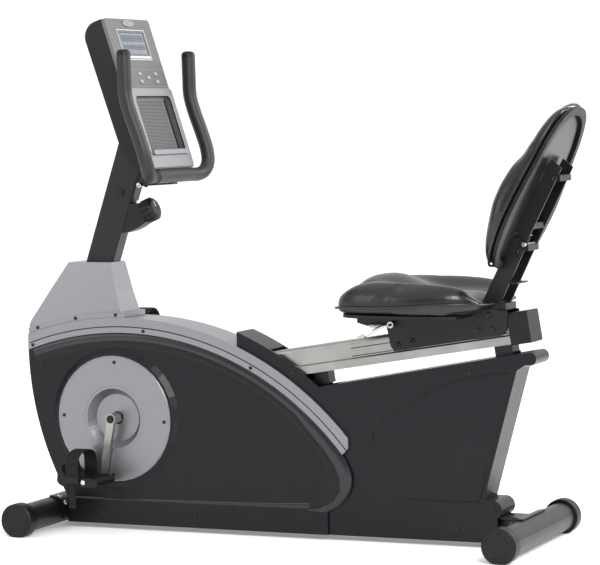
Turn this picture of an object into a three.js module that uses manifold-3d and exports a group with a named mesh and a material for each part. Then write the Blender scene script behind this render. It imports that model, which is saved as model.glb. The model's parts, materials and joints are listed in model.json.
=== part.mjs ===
// A recumbent exercise bike: a steel base with two floor tubes, moulded casings round a belt-driven
// flywheel with a magnetic brake, a leaning mast with a console and handlebar, and a padded seat
// that slides on an inclined aluminium rail.
// Millimetres, +Z up. +X points to the rear of the bike, the rider faces -X, -Y is the rider's left.
import * as THREE from 'three';
import { mergeVertices } from 'three/addons/utils/BufferGeometryUtils.js';
import Module from 'manifold-3d';

const wasm = await Module();
wasm.setup();

// ---------------------------------------------------------------- driving dimensions
const GAP = 0.4; // clearance between pieces that touch

const FLOOR_TUBE = { radius: 40, halfLength: 262, height: 46, frontX: -753.5, rearX: 686 };
const END_CAP = { radius: 49, width: 38, lip: 12 };

const CRANK = { x: -540, z: 320.5, length: 170, lean: 11 }; // lean in degrees from upright
const DISC = { radius: 180, faceY: 76, dishRadius: 86, dishFloorRadius: 68, dishDepth: 24, hole: 18.5 };

// every line of the front casing is an arc about one centre, or the large arc of the nose
const ARCH = { x: -519, z: -307, ridge: 915, joint: 872, horn: 951 };
const NOSE_ARC = { x: 28, z: 520, radius: 850 };
const CASING = { bottom: 15, front: -706, seamX: 112, bandTop: 79.5, wall: 3 };
const HALF_WIDTH = { front: 61, arch: 63, rear: 54, neck: 60, flange: 63.5 };
const ARCH_TAIL_X = 178;

const MAST = { x: -698.4, z: 480, tilt: 18.78, length: 700, depth: 84, width: 42, wall: 3 };
const RAIL = { x: 209, z: 482.6, slope: 8.85, height: 75, front: -330, rear: 457 };
const CONSOLE = { x: -373, z: 1029, tilt: -17.64, height: 446, halfWidth: 134, depth: 76, face: 10 };
const BAR = { halfWidth: 199, radius: 14.5, foam: 19.5, crossX: -367.7, crossZ: 1009 };
const BACK = { x: 686, z: 893, recline: 25.9, padThickness: 52, rim: 18 };
const SEAT = { bottom: 631.3 };
const BACK_BOLT = { x: 690, z: 818, radius: 4 };
const PLATE = 4; // thickness of the pressed steel plates under the seat

const PULLEY = { radius: 125, hubRadius: 22, y: 22, width: 12 };
const FLYWHEEL = { x: -240, z: 290, radius: 140, fromY: -28, toY: 6 };
const PEDAL = { toe: 85, heel: 44, inner: 100, outer: 205 };
const STRAP = { left: { from: -54, to: -14, height: 86 }, right: { from: -60, to: -16, height: 132 } };
const BRAKE_PIVOT = { x: -90, z: 222 };

// ---------------------------------------------------------------- finishes
const CHARCOAL = { color: 0x2f3238, roughness: 0.45, metalness: 0 };
const SILVER = { color: 0xa9abae, roughness: 0.35, metalness: 0.3 };
const BLACK_STEEL = { color: 0x1a1b1d, roughness: 0.4, metalness: 0.2 };
const GREY_STEEL = { color: 0x4b4d52, roughness: 0.4, metalness: 0.3 };
const ALUMINIUM = { color: 0xb9b9b5, roughness: 0.3, metalness: 1 };
const CHROME = { color: 0xc9cbcd, roughness: 0.15, metalness: 1 };
const IRON = { color: 0x55585c, roughness: 0.5, metalness: 0.9 };
const RUBBER = { color: 0x151515, roughness: 0.8, metalness: 0 };
const BLACK_PLASTIC = { color: 0x17181a, roughness: 0.5, metalness: 0 };
const FOAM = { color: 0x2b2b2a, roughness: 0.85, metalness: 0 };
const VINYL = { color: 0x3a3a38, roughness: 0.35, metalness: 0 };
const LIGHT_KEY = { color: 0xc7d0cc, roughness: 0.5, metalness: 0 };
const LCD_GREY = { color: 0x8d939b, roughness: 0.15, metalness: 0 };

// ---------------------------------------------------------------- helpers
const rad = THREE.MathUtils.degToRad;

// a closed geometry with shared corners and its faces pointing out
function weld(geometry) {
  const bare = geometry.index ? geometry.toNonIndexed() : geometry.clone();
  bare.deleteAttribute('normal');
  bare.deleteAttribute('uv');
  return mergeVertices(bare, 1e-3);
}

function solid(geometry) {
  const welded = weld(geometry);
  const index = Array.from(welded.index.array);
  const triangles = [];
  for (let i = 0; i < index.length; i += 3) {
    const [a, b, c] = index.slice(i, i + 3);
    if (a !== b && b !== c && c !== a) triangles.push(a, b, c);
  }
  const vertProperties = new Float32Array(welded.attributes.position.array);
  return new wasm.Manifold(new wasm.Mesh({ numProp: 3, vertProperties,
    triVerts: new Uint32Array(triangles) }));
}

function toGeometry(body) {
  const mesh = body.getMesh();
  const geometry = new THREE.BufferGeometry();
  geometry.setAttribute('position', new THREE.BufferAttribute(new Float32Array(mesh.vertProperties), 3));
  geometry.setIndex(Array.from(mesh.triVerts));
  geometry.computeVertexNormals();
  return geometry;
}

const join = (...geometries) => toGeometry(geometries.map(solid).reduce((sum, next) => sum.add(next)));
const cut = (base, ...tools) => toGeometry(tools.map(solid).reduce((rest, tool) => rest.subtract(tool),
  solid(base)));
const common = (a, b) => toGeometry(solid(a).intersect(solid(b)));

// the points of a path, without doubled ones, as a shape
function outline(path, segments = 12) {
  const points = path.getPoints(segments);
  const kept = points.filter((p, i) => p.distanceTo(points[(i + 1) % points.length]) > 0.01);
  return new THREE.Shape(kept);
}

const polygon = (points) => new THREE.Shape(points.map(([x, z]) => new THREE.Vector2(x, z)));

// a shape drawn in X and Z, carried along Y
function prism(shape, fromY, toY) {
  const geometry = new THREE.ExtrudeGeometry(shape, { depth: toY - fromY, bevelEnabled: false });
  return geometry.rotateX(Math.PI / 2).translate(0, toY, 0);
}

// a shape drawn in Y and Z, carried along X
function beam(shape, fromX, toX) {
  const geometry = new THREE.ExtrudeGeometry(shape, { depth: toX - fromX, bevelEnabled: false });
  const turn = new THREE.Matrix4().set(0, 0, 1, 0, 1, 0, 0, 0, 0, 1, 0, 0, 0, 0, 0, 1);
  return geometry.applyMatrix4(turn).translate(fromX, 0, 0);
}

function box(x, y, z) {
  const geometry = new THREE.BoxGeometry(x[1] - x[0], y[1] - y[0], z[1] - z[0]);
  return geometry.translate((x[0] + x[1]) / 2, (y[0] + y[1]) / 2, (z[0] + z[1]) / 2);
}

// a round bar along Y
function rod(radius, fromY, toY, x = 0, z = 0, sides = 32) {
  const geometry = new THREE.CylinderGeometry(radius, radius, toY - fromY, sides);
  return geometry.translate(x, (fromY + toY) / 2, z);
}

// a ring along Y
function ring(outer, inner, fromY, toY, x = 0, z = 0, sides = 32) {
  const profile = [[inner, fromY], [outer, fromY], [outer, toY], [inner, toY], [inner, fromY]];
  const points = profile.map(([r, y]) => new THREE.Vector2(r, y));
  return new THREE.LatheGeometry(points, sides).translate(x, 0, z);
}

// a round or flat bar swept along points
function sweep(points, section, steps, tension = 0.5) {
  const path = new THREE.CatmullRomCurve3(points.map((p) => new THREE.Vector3(...p)), false,
    'catmullrom', tension);
  return new THREE.ExtrudeGeometry(section, { steps, extrudePath: path, bevelEnabled: false });
}

function circle(radius, sides = 12) {
  const path = new THREE.Path();
  path.absarc(0, 0, radius, 0, 2 * Math.PI, false);
  return outline(path, sides);
}

function rounded(halfX, halfZ, radius, centreX = 0, centreZ = 0, segments = 3) {
  const path = new THREE.Path();
  const [x, z] = [halfX - radius, halfZ - radius];
  const corners = [[x, z, 0], [-x, z, 90], [-x, -z, 180], [x, -z, 270]];
  for (const [cx, cz, start] of corners) {
    path.absarc(centreX + cx, centreZ + cz, radius, rad(start), rad(start + 90), false);
  }
  return outline(path, segments);
}

const angleAt = (centre, x, z) => Math.atan2(z - centre.z, x - centre.x);
const arcHeight = (radius, x) => ARCH.z + Math.sqrt(radius ** 2 - (x - ARCH.x) ** 2);
const noseX = (z, radius = NOSE_ARC.radius) => NOSE_ARC.x - Math.sqrt(radius ** 2 - (z - NOSE_ARC.z) ** 2);

const bike = new THREE.Group();

function part(name, geometry, look, parent = bike) {
  const mesh = new THREE.Mesh(geometry, new THREE.MeshStandardMaterial(look));
  mesh.name = name;
  parent.add(mesh);
  return mesh;
}

// a group whose own Z axis leans towards +X by an angle
function leaning(x, z, degrees) {
  const group = new THREE.Group();
  group.position.set(x, 0, z);
  group.rotation.y = rad(degrees);
  group.updateMatrix();
  bike.add(group);
  return group;
}

// ---------------------------------------------------------------- local frames
const mast = leaning(MAST.x, MAST.z, MAST.tilt); // Z runs up the mast
const rail = leaning(RAIL.x, RAIL.z, -RAIL.slope); // X runs up the rail, Z is square to it
const consoleFrame = leaning(CONSOLE.x, CONSOLE.z, CONSOLE.tilt); // X faces the rider, Z runs up the face
const back = leaning(BACK.x, BACK.z, BACK.recline); // Z runs up the backrest, X points to the rear

// ---------------------------------------------------------------- floor tubes and end caps
function floorTube(x) {
  return ring(FLOOR_TUBE.radius, FLOOR_TUBE.radius - 3, -FLOOR_TUBE.halfLength, FLOOR_TUBE.halfLength, x,
    FLOOR_TUBE.height, 28);
}

// a cap over the tube's end: a cup with a rounded rim, cut flat where it stands on the floor
function endCap(side) {
  const inner = FLOOR_TUBE.radius + GAP;
  const start = FLOOR_TUBE.halfLength - END_CAP.width + 14;
  const end = start + END_CAP.width;
  const profile = [[inner, start], [END_CAP.radius - 2, start], [END_CAP.radius, start + 2],
    [END_CAP.radius, end - 3], [END_CAP.radius - 3, end], [0, end], [0, FLOOR_TUBE.halfLength + GAP],
    [inner, FLOOR_TUBE.halfLength + GAP], [inner, start]];
  const cup = new THREE.LatheGeometry(profile.map(([r, y]) => new THREE.Vector2(r, y)), 28);
  if (side < 0) cup.rotateX(Math.PI);
  const floor = box([-60, 60], [-400, 400], [-90, -FLOOR_TUBE.height]);
  return cut(cup, floor);
}

const endCapAt = (x, side) => endCap(side).translate(x, 0, FLOOR_TUBE.height);

// ---------------------------------------------------------------- welded base frame
const BEAM = { halfWidth: 25, bottom: 32, top: 80 };

// a curved plate that hugs a floor tube, between two angles from the rear
function saddle(x, halfWidth, fromDegrees, toDegrees) {
  const [inner, outer] = [FLOOR_TUBE.radius + GAP, FLOOR_TUBE.radius + 5];
  const path = new THREE.Path();
  path.absarc(x, FLOOR_TUBE.height, outer, rad(fromDegrees), rad(toDegrees), false);
  path.absarc(x, FLOOR_TUBE.height, inner, rad(toDegrees), rad(fromDegrees), true);
  return prism(outline(path, 10), -halfWidth, halfWidth);
}

function inFrame(group, geometry) {
  return geometry.applyMatrix4(group.matrix);
}

function baseFrame() {
  const pieces = [
    box([FLOOR_TUBE.frontX + 43, FLOOR_TUBE.rearX - 43], [-BEAM.halfWidth, BEAM.halfWidth],
      [BEAM.bottom, BEAM.top]),
    saddle(FLOOR_TUBE.frontX, 76, -30, 96),
    saddle(FLOOR_TUBE.rearX, 92, 84, 210),
    box([604, FLOOR_TUBE.rearX - 20], [-40, 40], [BEAM.top - 1, BEAM.top + 5]),
    // post and shell of the crank bearings
    box([CRANK.x - 22, CRANK.x + 22], [-20, 10], [BEAM.top - 2, CRANK.z]),
    rod(24, -34, 14, CRANK.x, CRANK.z),
    // upright that carries the mast
    prism(polygon([[-694, 70], [-639, 70], [-682, 300], [-668, 452], [-740, 452], [-738, 300]]), -17.5, 17.5),
    inFrame(mast, box([-38.4, 38.4], [-17.5, 17.5], [-60, 130])),
    // lugs of the flywheel axle
    box([FLYWHEEL.x - 28, FLYWHEEL.x + 28], [-45, 45], [60, BEAM.top]),
    box([FLYWHEEL.x - 24, FLYWHEEL.x + 24], [-45, -40], [BEAM.top - 2, FLYWHEEL.z + 28]),
    box([FLYWHEEL.x - 24, FLYWHEEL.x + 24], [40, 45], [BEAM.top - 2, FLYWHEEL.z + 28]),
    // post and stud of the brake bracket
    box([-102, -78], [-20, -6], [BEAM.top - 2, 232]),
    rod(4, -38, -19, BRAKE_PIVOT.x, BRAKE_PIVOT.z, 16),
    // posts under the rail
    box([52, 92], [-18, 18], [BEAM.top - 2, 440]),
    inFrame(rail, box([-150, -106], [-22, 22], [-34, -GAP])),
    prism(polygon([[470, 78], [530, 78], [655, 530], [600, 530]]), -18, 18),
    inFrame(rail, box([390, 440], [-28, 28], [-32, -GAP])),
  ];
  const holes = [
    rod(17, -60, 60, CRANK.x, CRANK.z),
    rod(6.3, -60, 60, FLYWHEEL.x, FLYWHEEL.z, 20),
  ];
  const tube = (x) => rod(FLOOR_TUBE.radius + GAP, -300, 300, x, FLOOR_TUBE.height, 28);
  return cut(join(...pieces), ...holes, tube(FLOOR_TUBE.frontX), tube(FLOOR_TUBE.rearX));
}

// ---------------------------------------------------------------- casings
// the front panel seen from the side, drawn inwards by an inset
function frontPanelShape(inset) {
  const nose = NOSE_ARC.radius - inset;
  const joint = ARCH.joint - GAP - inset;
  const left = CASING.front + inset;
  const noseLow = NOSE_ARC.z - Math.sqrt(nose ** 2 - (NOSE_ARC.x - left) ** 2);
  const noseHigh = 510.4 - inset;
  const tailX = 160 - inset;
  const path = new THREE.Path();
  path.moveTo(left, CASING.bottom + inset);
  path.lineTo(left, noseLow);
  path.absarc(NOSE_ARC.x, NOSE_ARC.z, nose, angleAt(NOSE_ARC, left, noseLow) + 2 * Math.PI,
    angleAt(NOSE_ARC, noseX(noseHigh, nose), noseHigh), true);
  path.absarc(ARCH.x, ARCH.z, joint, angleAt(ARCH, noseX(noseHigh, nose) + 1, noseHigh),
    angleAt(ARCH, tailX, arcHeight(joint, tailX)), true);
  path.quadraticCurveTo(186 - inset, 205, 188 - inset, 172);
  path.quadraticCurveTo(188 - inset, 110 + inset / 2, CASING.seamX - inset, CASING.bandTop);
  path.lineTo(CASING.seamX - inset, CASING.bottom + inset);
  return outline(path, 10);
}

// room for the front post of the rail inside the casings
const postOpening = () => box([49, 95], [-21, 21], [100, 445]);

// one side's panel: a shallow tub with a raised boss and a round opening round the crank
function frontPanel(side) {
  const [wall, width] = [CASING.wall, HALF_WIDTH.front];
  const boss = new THREE.CylinderGeometry(187, 203, DISC.faceY - 3 - GAP - width + 1, 36);
  boss.translate(CRANK.x, (DISC.faceY - 3 - GAP + width - 1) / 2, CRANK.z);
  const shell = cut(
    join(prism(frontPanelShape(0), GAP / 2, width), boss),
    prism(frontPanelShape(wall), -1, width - wall),
    rod(178, width - wall - 1, DISC.faceY - 3 - GAP - wall, CRANK.x, CRANK.z, 40),
    rod(DISC.dishRadius + 8, width - 20, width + 40, CRANK.x, CRANK.z, 40),
    box([-745, -690], [-1, BEAM.halfWidth + 2], [BEAM.bottom - 2, BEAM.top + 2]),
    box([90, 130], [-1, BEAM.halfWidth + 2], [BEAM.bottom - 2, BEAM.top + 2]),
    inFrame(mast, box([-44, 44], [-1, 23], [0, 200])),
    box([-580, -515], [-1, 25], [545, 580]),
    postOpening(),
  );
  return handed(shell, side);
}

// pieces are drawn on the +Y side, and mirrored for the -Y side
function handed(geometry, side) {
  if (side > 0) return geometry;
  const mirrored = weld(geometry).scale(1, -1, 1);
  const index = mirrored.index.array;
  for (let i = 0; i < index.length; i += 3) [index[i], index[i + 1]] = [index[i + 1], index[i]];
  mirrored.computeVertexNormals();
  return mirrored;
}

// the rear casing seen from the side: the body under the rail, with a horn that runs up the arch
function rearShellShape(inset) {
  const horn = ARCH.horn - inset;
  const joint = ARCH.ridge + GAP + inset;
  const hornX = -157 + inset;
  const footX = 94 - inset;
  const tail = ARCH_TAIL_X + GAP + inset;
  const path = new THREE.Path();
  path.moveTo(CASING.seamX + GAP + inset, CASING.bottom + inset);
  path.lineTo(605 - inset, CASING.bottom + inset);
  path.lineTo(605 - inset, CASING.bandTop);
  path.absarc(592, 105, 26 - inset, rad(-60), rad(100), false);
  path.lineTo(567.5 - inset, 131 - inset);
  path.lineTo(666 - inset, 482);
  path.lineTo(690 - inset, 497 + inset);
  path.absarc(703, 514, 18 - inset, rad(-70), rad(95), false);
  path.lineTo(footX, 425 - inset);
  path.absarc(ARCH.x, ARCH.z, horn, angleAt(ARCH, footX, 425), angleAt(ARCH, hornX, arcHeight(horn,
    hornX)), false);
  path.absarc(ARCH.x, ARCH.z, joint, angleAt(ARCH, hornX, arcHeight(joint, hornX)),
    angleAt(ARCH, tail, arcHeight(joint, tail)), true);
  path.lineTo(tail, 256);
  path.lineTo(161 + inset, 238.5 - inset);
  path.quadraticCurveTo(186.5 + inset, 205, 188 + GAP + inset, 172);
  path.quadraticCurveTo(188 + GAP + inset, 110 - inset / 2, CASING.seamX + GAP + inset, CASING.bandTop - 0.5);
  return outline(path, 9);
}

function rearShell(side) {
  const [wall, width] = [CASING.wall, HALF_WIDTH.rear];
  const shell = cut(
    prism(rearShellShape(0), GAP / 2, width),
    prism(rearShellShape(wall), -1, width - wall),
    // the opening that the rail comes out of
    prism(polygon([[-60, 620], [-60, 436], [96, 414], [150, 437.5], [150, 620]]), -1, 47),
    // the openings for the two posts and for the beam
    postOpening(),
    box([590, 700], [-1, 30], [495, 600]),
    box([90, 130], [-1, BEAM.halfWidth + 2], [BEAM.bottom - 2, BEAM.top + 2]),
    box([595, 615], [-1, 42], [BEAM.bottom - 2, BEAM.top + 7]),
  );
  return handed(shell, side);
}

// the silver cowl over the arch, open underneath
function archCowlShape(inset, open) {
  const ridge = ARCH.ridge - inset;
  const joint = ARCH.joint - open;
  const nose = NOSE_ARC.radius - inset;
  const [low, high] = [510.4, 556.8 - inset];
  const tail = ARCH_TAIL_X - inset;
  const path = new THREE.Path();
  path.moveTo(noseX(low, nose), low - open);
  path.lineTo(noseX(high, nose), high);
  path.absarc(ARCH.x, ARCH.z, ridge, angleAt(ARCH, noseX(high, nose) + 0.5, high),
    angleAt(ARCH, tail, arcHeight(ridge, tail)), true);
  path.lineTo(tail, 258);
  path.lineTo(161, 240.5);
  path.absarc(ARCH.x, ARCH.z, joint, angleAt(ARCH, 160, arcHeight(joint, 160)),
    angleAt(ARCH, noseX(low, nose) + 1, low), false);
  return outline(path, 14);
}

function archCowl() {
  const [wall, width] = [3.5, HALF_WIDTH.arch];
  return cut(
    prism(archCowlShape(0, 0), -width, width),
    prism(archCowlShape(wall, 8), -width + wall, width - wall),
    inFrame(mast, box([-44, 44], [-23, 23], [0, 200])),
    box([-640, -560], [-14, 14], [560, 640]),
    postOpening(),
  );
}

// one half of the cowl round the foot of the mast: a flange on the arch and a tapering hood
function neckCowl(side) {
  const hood = (inset) => polygon([
    [-816 + inset, 585], [-810 + inset, 597], [-748 + inset, 686], [-692 + inset, 764 - inset],
    [-555 - inset, 764 - inset], [-536 - inset, 681], [-514 - inset, 606], [-520 - inset, 540],
      [-816 + inset, 540],
  ]);
  const flangePath = new THREE.Path();
  flangePath.absarc(ARCH.x, ARCH.z, 930, angleAt(ARCH, -818, arcHeight(930, -818)),
    angleAt(ARCH, -504, arcHeight(930, -504)), true);
  flangePath.absarc(ARCH.x, ARCH.z, 880, angleAt(ARCH, -504, 560), angleAt(ARCH, -818, 520), false);
  // the side wall leans in towards the mast
  const slope = Math.atan2(17, 164);
  const outside = (offset) => box([-900, -400], [0, 80], [-300, 300]).translate(0, offset, 0).rotateX(slope)
    .translate(0, HALF_WIDTH.neck, 604);
  const archBelow = rod(ARCH.ridge + GAP + 0.2, -100, 100, ARCH.x, ARCH.z, 180);
  const shell = cut(
    join(cut(prism(hood(0), GAP / 2, HALF_WIDTH.neck + 2), outside(0)), prism(outline(flangePath, 10),
      GAP / 2, HALF_WIDTH.flange)),
    cut(prism(hood(3), -1, HALF_WIDTH.neck), outside(-3)),
    inFrame(mast, box([-42.8, 42.8], [-21.8, 21.8], [0, 400])),
    archBelow,
  );
  return handed(shell, side);
}

// the silver disc round the crank: a flat rim with a deep round dish
function crankDisc(side) {
  const { radius, faceY, dishRadius, dishFloorRadius, dishDepth, hole } = DISC;
  const t = 3;
  const profile = [[hole, faceY - dishDepth - t], [dishFloorRadius + 1, faceY - dishDepth - t],
    [dishRadius + 1, faceY - t], [radius, faceY - t], [radius, faceY - 1], [radius - 1, faceY],
    [dishRadius, faceY], [dishFloorRadius, faceY - dishDepth], [hole, faceY - dishDepth],
    [hole, faceY - dishDepth - t]];
  const disc = new THREE.LatheGeometry(profile.map(([r, y]) => new THREE.Vector2(r, y)), 40);
  return handed(disc.translate(CRANK.x, 0, CRANK.z), side);
}

// ---------------------------------------------------------------- crank, pedals and drive
const crankFrame = new THREE.Group();
crankFrame.position.set(CRANK.x, 0, CRANK.z);
crankFrame.rotation.y = rad(CRANK.lean);
bike.add(crankFrame);

const ARM = { outer: 97, inner: 81, bossRadius: 15.5 };

// a crank arm on the +Y side that points up: a boss, a tapering arm and an eye for the pedal axle
function crankArm() {
  const arm = prism(polygon([[-12, 0], [12, 0], [8, CRANK.length], [-8, CRANK.length]]), ARM.inner,
    ARM.outer - 2);
  const boss = rod(ARM.bossRadius, 58, ARM.outer, 0, 0, 24);
  const eye = rod(13, ARM.inner, ARM.outer - 2, 0, CRANK.length, 24);
  const bore = rod(8.8, 40, 92, 0, 0, 20);
  const axleHole = rod(7.2, 60, 120, 0, CRANK.length, 20);
  return cut(join(arm, boss, eye), bore, axleHole);
}

// the axle that a pedal turns on, screwed into the arm's eye
const pedalAxle = () => rod(6.6, ARM.inner + 1, PEDAL.outer + 3, 0, CRANK.length, 20);

function crankSpindle() {
  const shaft = rod(8.4, -91.5, 91.5, 0, 0, 24);
  const collar = rod(13, 16, 30, 0, 0, 24);
  return join(shaft, collar);
}

// a spoked belt wheel
function drivePulley() {
  const { radius, y, width } = PULLEY;
  const [from, to] = [y - width / 2, y + width / 2];
  const rim = ring(radius, radius - 12, from, to, 0, 0, 36);
  const web = ring(radius - 10, 13.4, y - 2, y + 2, 0, 0, 24);
  const windows = [0, 60, 120, 180, 240, 300].map((turn) => {
    const hole = rod(24, 0, 60, 68, 0, 12);
    return hole.rotateY(rad(turn));
  });
  return cut(join(rim, web, ring(24, 13.4, from, to, 0, 0, 24)), ...windows);
}

// the belt: a flat band round both pulleys
function driveBelt() {
  const [big, small] = [PULLEY.radius + GAP, PULLEY.hubRadius + GAP];
  const dx = FLYWHEEL.x - CRANK.x;
  const dz = FLYWHEEL.z - CRANK.z;
  const reach = Math.hypot(dx, dz);
  const heading = Math.atan2(dz, dx);
  const spread = Math.acos((big - small) / reach);
  const loop = (extra) => {
    const path = new THREE.Path();
    path.absarc(CRANK.x, CRANK.z, big + extra, heading + spread, heading - spread + 2 * Math.PI, false);
    path.absarc(FLYWHEEL.x, FLYWHEEL.z, small + extra, heading - spread, heading + spread, false);
    return outline(path, 13);
  };
  const band = loop(2.5);
  band.holes.push(loop(0));
  return prism(band, PULLEY.y - 5, PULLEY.y + 5);
}

function flywheel() {
  const { radius, fromY, toY } = FLYWHEEL;
  const heavyRim = ring(radius, radius - 42, fromY, toY, 0, 0, 36);
  const web = ring(radius - 40, 14, -16, -6, 0, 0, 28);
  const hub = ring(22, 14, fromY, toY + 6, 0, 0, 28);
  return join(heavyRim, web, hub, ring(PULLEY.hubRadius, 14, toY + 5, PULLEY.y + PULLEY.width / 2, 0, 0, 28));
}


// a pair of bearings held apart by a thin sleeve
function bearingPair(outer, inner, fromY, toY, width, centre) {
  const at = (r, a, b) => ring(r, inner, a, b, centre.x, centre.z, 16);
  return join(at(outer, fromY, fromY + width), at(inner + 2, fromY + 1, toY - 1), at(outer, toY - width,
    toY));
}

function flywheelAxle() {
  const nut = (y) => rod(11, y, y + 7, 0, 0, 6);
  return join(rod(6, -55, 55, 0, 0, 20), nut(45 + GAP), nut(-52 - GAP));
}

// the brake: a curved steel shoe behind the flywheel with four magnets, on an arm from its pivot
const SHOE = { gap: 4, thickness: 5, fromDegrees: -14, toDegrees: 46 };
function shoeSector(inner, outer, fromDegrees, toDegrees, fromY, toY) {
  const path = new THREE.Path();
  path.absarc(0, 0, outer, rad(fromDegrees), rad(toDegrees), false);
  path.absarc(0, 0, inner, rad(toDegrees), rad(fromDegrees), true);
  return prism(outline(path, 10), fromY, toY).translate(FLYWHEEL.x, 0, FLYWHEEL.z);
}

function brakeBracket() {
  const face = FLYWHEEL.radius + SHOE.gap;
  const back0 = face + 4;
  const shoe = shoeSector(back0, back0 + SHOE.thickness, SHOE.fromDegrees, SHOE.toDegrees, -30, 8);
  const magnets = [-8, 8, 24, 40].map((turn) => shoeSector(face, back0 + 1, turn - 5, turn + 5, -26, 4));
  const lug = prism(polygon([
    [BRAKE_PIVOT.x - 12, BRAKE_PIVOT.z - 10], [BRAKE_PIVOT.x + 12, BRAKE_PIVOT.z - 10],
    [FLYWHEEL.x + back0 + 8, FLYWHEEL.z - 20], [FLYWHEEL.x + back0 - 3, FLYWHEEL.z - 20],
  ]), -30, -24);
  return cut(join(shoe, ...magnets, lug), rod(4.3, -60, 20, BRAKE_PIVOT.x, BRAKE_PIVOT.z, 16));
}

// a pedal round its axle: a long sole with a toe guard and a heel end
function pedalBody() {
  const { toe, heel, inner, outer } = PEDAL;
  const sole = new THREE.Path();
  sole.moveTo(-toe, 4);
  sole.quadraticCurveTo(-toe + 3, -12, -toe + 26, -14);
  sole.lineTo(heel - 12, -14);
  sole.quadraticCurveTo(heel, -12, heel, -2);
  sole.quadraticCurveTo(heel, 8, heel - 12, 10);
  sole.lineTo(-toe + 34, 13);
  sole.quadraticCurveTo(-toe + 20, 15, -toe + 15, 46);
  sole.quadraticCurveTo(-toe + 4, 42, -toe, 4);
  const slots = [-50, -26, 14].map((x) => box([x, x + 12], [inner + 20, outer - 20], [-40, 40]));
  return cut(prism(outline(sole, 6), inner, outer), rod(7, 50, 240, 0, 0, 20), ...slots);
}

// the strap: a band over the sole, with its free end hanging outside; the right one is let out further
function pedalStrap({ from, to, height }) {
  const { inner, outer } = PEDAL;
  const crown = height * 4 / 3 - 50 / 3; // the curve's handles, so that its top reaches the height
  const arch = (grow) => {
    const path = new THREE.Path();
    path.moveTo(inner - 1 - grow, -12);
    path.lineTo(inner - 1 - grow, 50);
    path.bezierCurveTo(inner - 1 - grow, crown + grow, outer + 3 + grow, crown + grow, outer + 3 + grow, 46);
    path.lineTo(outer + 1 + grow, -12);
    return path.getPoints(10);
  };
  const band = new THREE.Shape([...arch(2), ...arch(0).reverse()]);
  const loop = beam(band, from, to);
  const tail = beam(polygon([[outer + 2, -8], [outer + 5, -8], [outer + 4, -74], [outer + 1, -74]]),
    from + 8, from + 30);
  return join(loop, tail);
}

// ---------------------------------------------------------------- mast, knob and cable
function mastTube() {
  const { depth, width, wall, length } = MAST;
  const inner = box([-depth / 2 + wall, depth / 2 - wall], [-width / 2 + wall, width / 2 - wall], [-5,
    length + 5]);
  const cableHole = new THREE.CylinderGeometry(9, 9, 40, 16).rotateZ(Math.PI / 2).translate(depth / 2,
    0, 186);
  const knobHole = new THREE.CylinderGeometry(10, 10, 40, 16).rotateZ(Math.PI / 2).translate(depth / 2,
    0, 448);
  return cut(box([-depth / 2, depth / 2], [-width / 2, width / 2], [0, length]), inner, cableHole, knobHole);
}

const KNOB = { x: -462, z: 904.5, lift: 22.8, radius: 33, height: 36 };

// the holder of the knob, a wedge with a hollow underside on the mast's rear face
function knobHousing() {
  const path = new THREE.Path();
  path.moveTo(-500.5 + GAP, 930);
  path.lineTo(-474, 931);
  path.lineTo(-452, 878);
  path.quadraticCurveTo(-480, 852, -528.5 + GAP, 846);
  const wedge = prism(outline(path, 8), -21, 21);
  return cut(wedge, inFrame(mast, box([-60, 42 + GAP], [-40, 40], [300, 600])));
}

// a fluted knob; its own Y axis points out of the housing
function tensionKnob() {
  const flutes = Array.from({ length: 12 }, (_, k) => {
    const groove = new THREE.CylinderGeometry(3, 3, 40, 6).translate(KNOB.radius + 0.8, 12, 0);
    return groove.rotateY(rad(30 * k));
  });
  const profile = [[0, 0], [KNOB.radius - 2, 0], [KNOB.radius, 2], [KNOB.radius, 30], [KNOB.radius - 3, 34],
    [KNOB.radius - 6, KNOB.height], [0, KNOB.height]];
  const turned = new THREE.LatheGeometry(profile.map(([r, y]) => new THREE.Vector2(r, y)), 32);
  return cut(turned, ...flutes);
}

function tensionCable() {
  const route = [[-548, 0, 888], [-590, 0, 768], [-622, 0, 676], [-600, 0, 640], [-572, -6, 590],
    [-480, -34, 520], [-330, -38, 468], [-200, -36, 446], [-140, -34, 424], [-118, -34, 404]];
  return sweep(route, circle(2.5, 3), 36);
}

// ---------------------------------------------------------------- console
function consoleBackShape(inset) {
  const { height, depth, face } = CONSOLE;
  const path = new THREE.Path();
  path.moveTo(-face - GAP, 2 + inset);
  path.lineTo(-face - GAP, height - inset);
  path.absarc(-31, height - 45, 45 - inset, rad(90), rad(180), false);
  path.lineTo(-depth + 6 + inset, 96);
  path.quadraticCurveTo(-depth + 14 + inset, 20 + inset, -28, 2 + inset);
  return outline(path, 8);
}

function consoleBack() {
  const { halfWidth, face } = CONSOLE;
  const inner = join(
    prism(consoleBackShape(3), -halfWidth + 3, halfWidth - 3),
    box([-face - 8, 5], [-halfWidth + 3, halfWidth - 3], [5, CONSOLE.height - 3]),
  );
  const toConsole = consoleFrame.matrix.clone().invert();
  const mastSpace = inFrame(mast, box([-43, 43], [-22, 22], [300, 760])).applyMatrix4(toConsole);
  return cut(prism(consoleBackShape(0), -halfWidth, halfWidth), inner, mastSpace);
}

const KEYS = { key_mode: [-22, 282], key_set: [74, 282], key_start: [26, 270.5], key_down: [-22, 259],
  key_up: [74, 259] };
const KEY = { halfWidth: 9.5, halfHeight: 5, proud: 2 };
const SCREEN = { y: 0, halfWidth: 74, from: 342, to: 405 };

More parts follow.
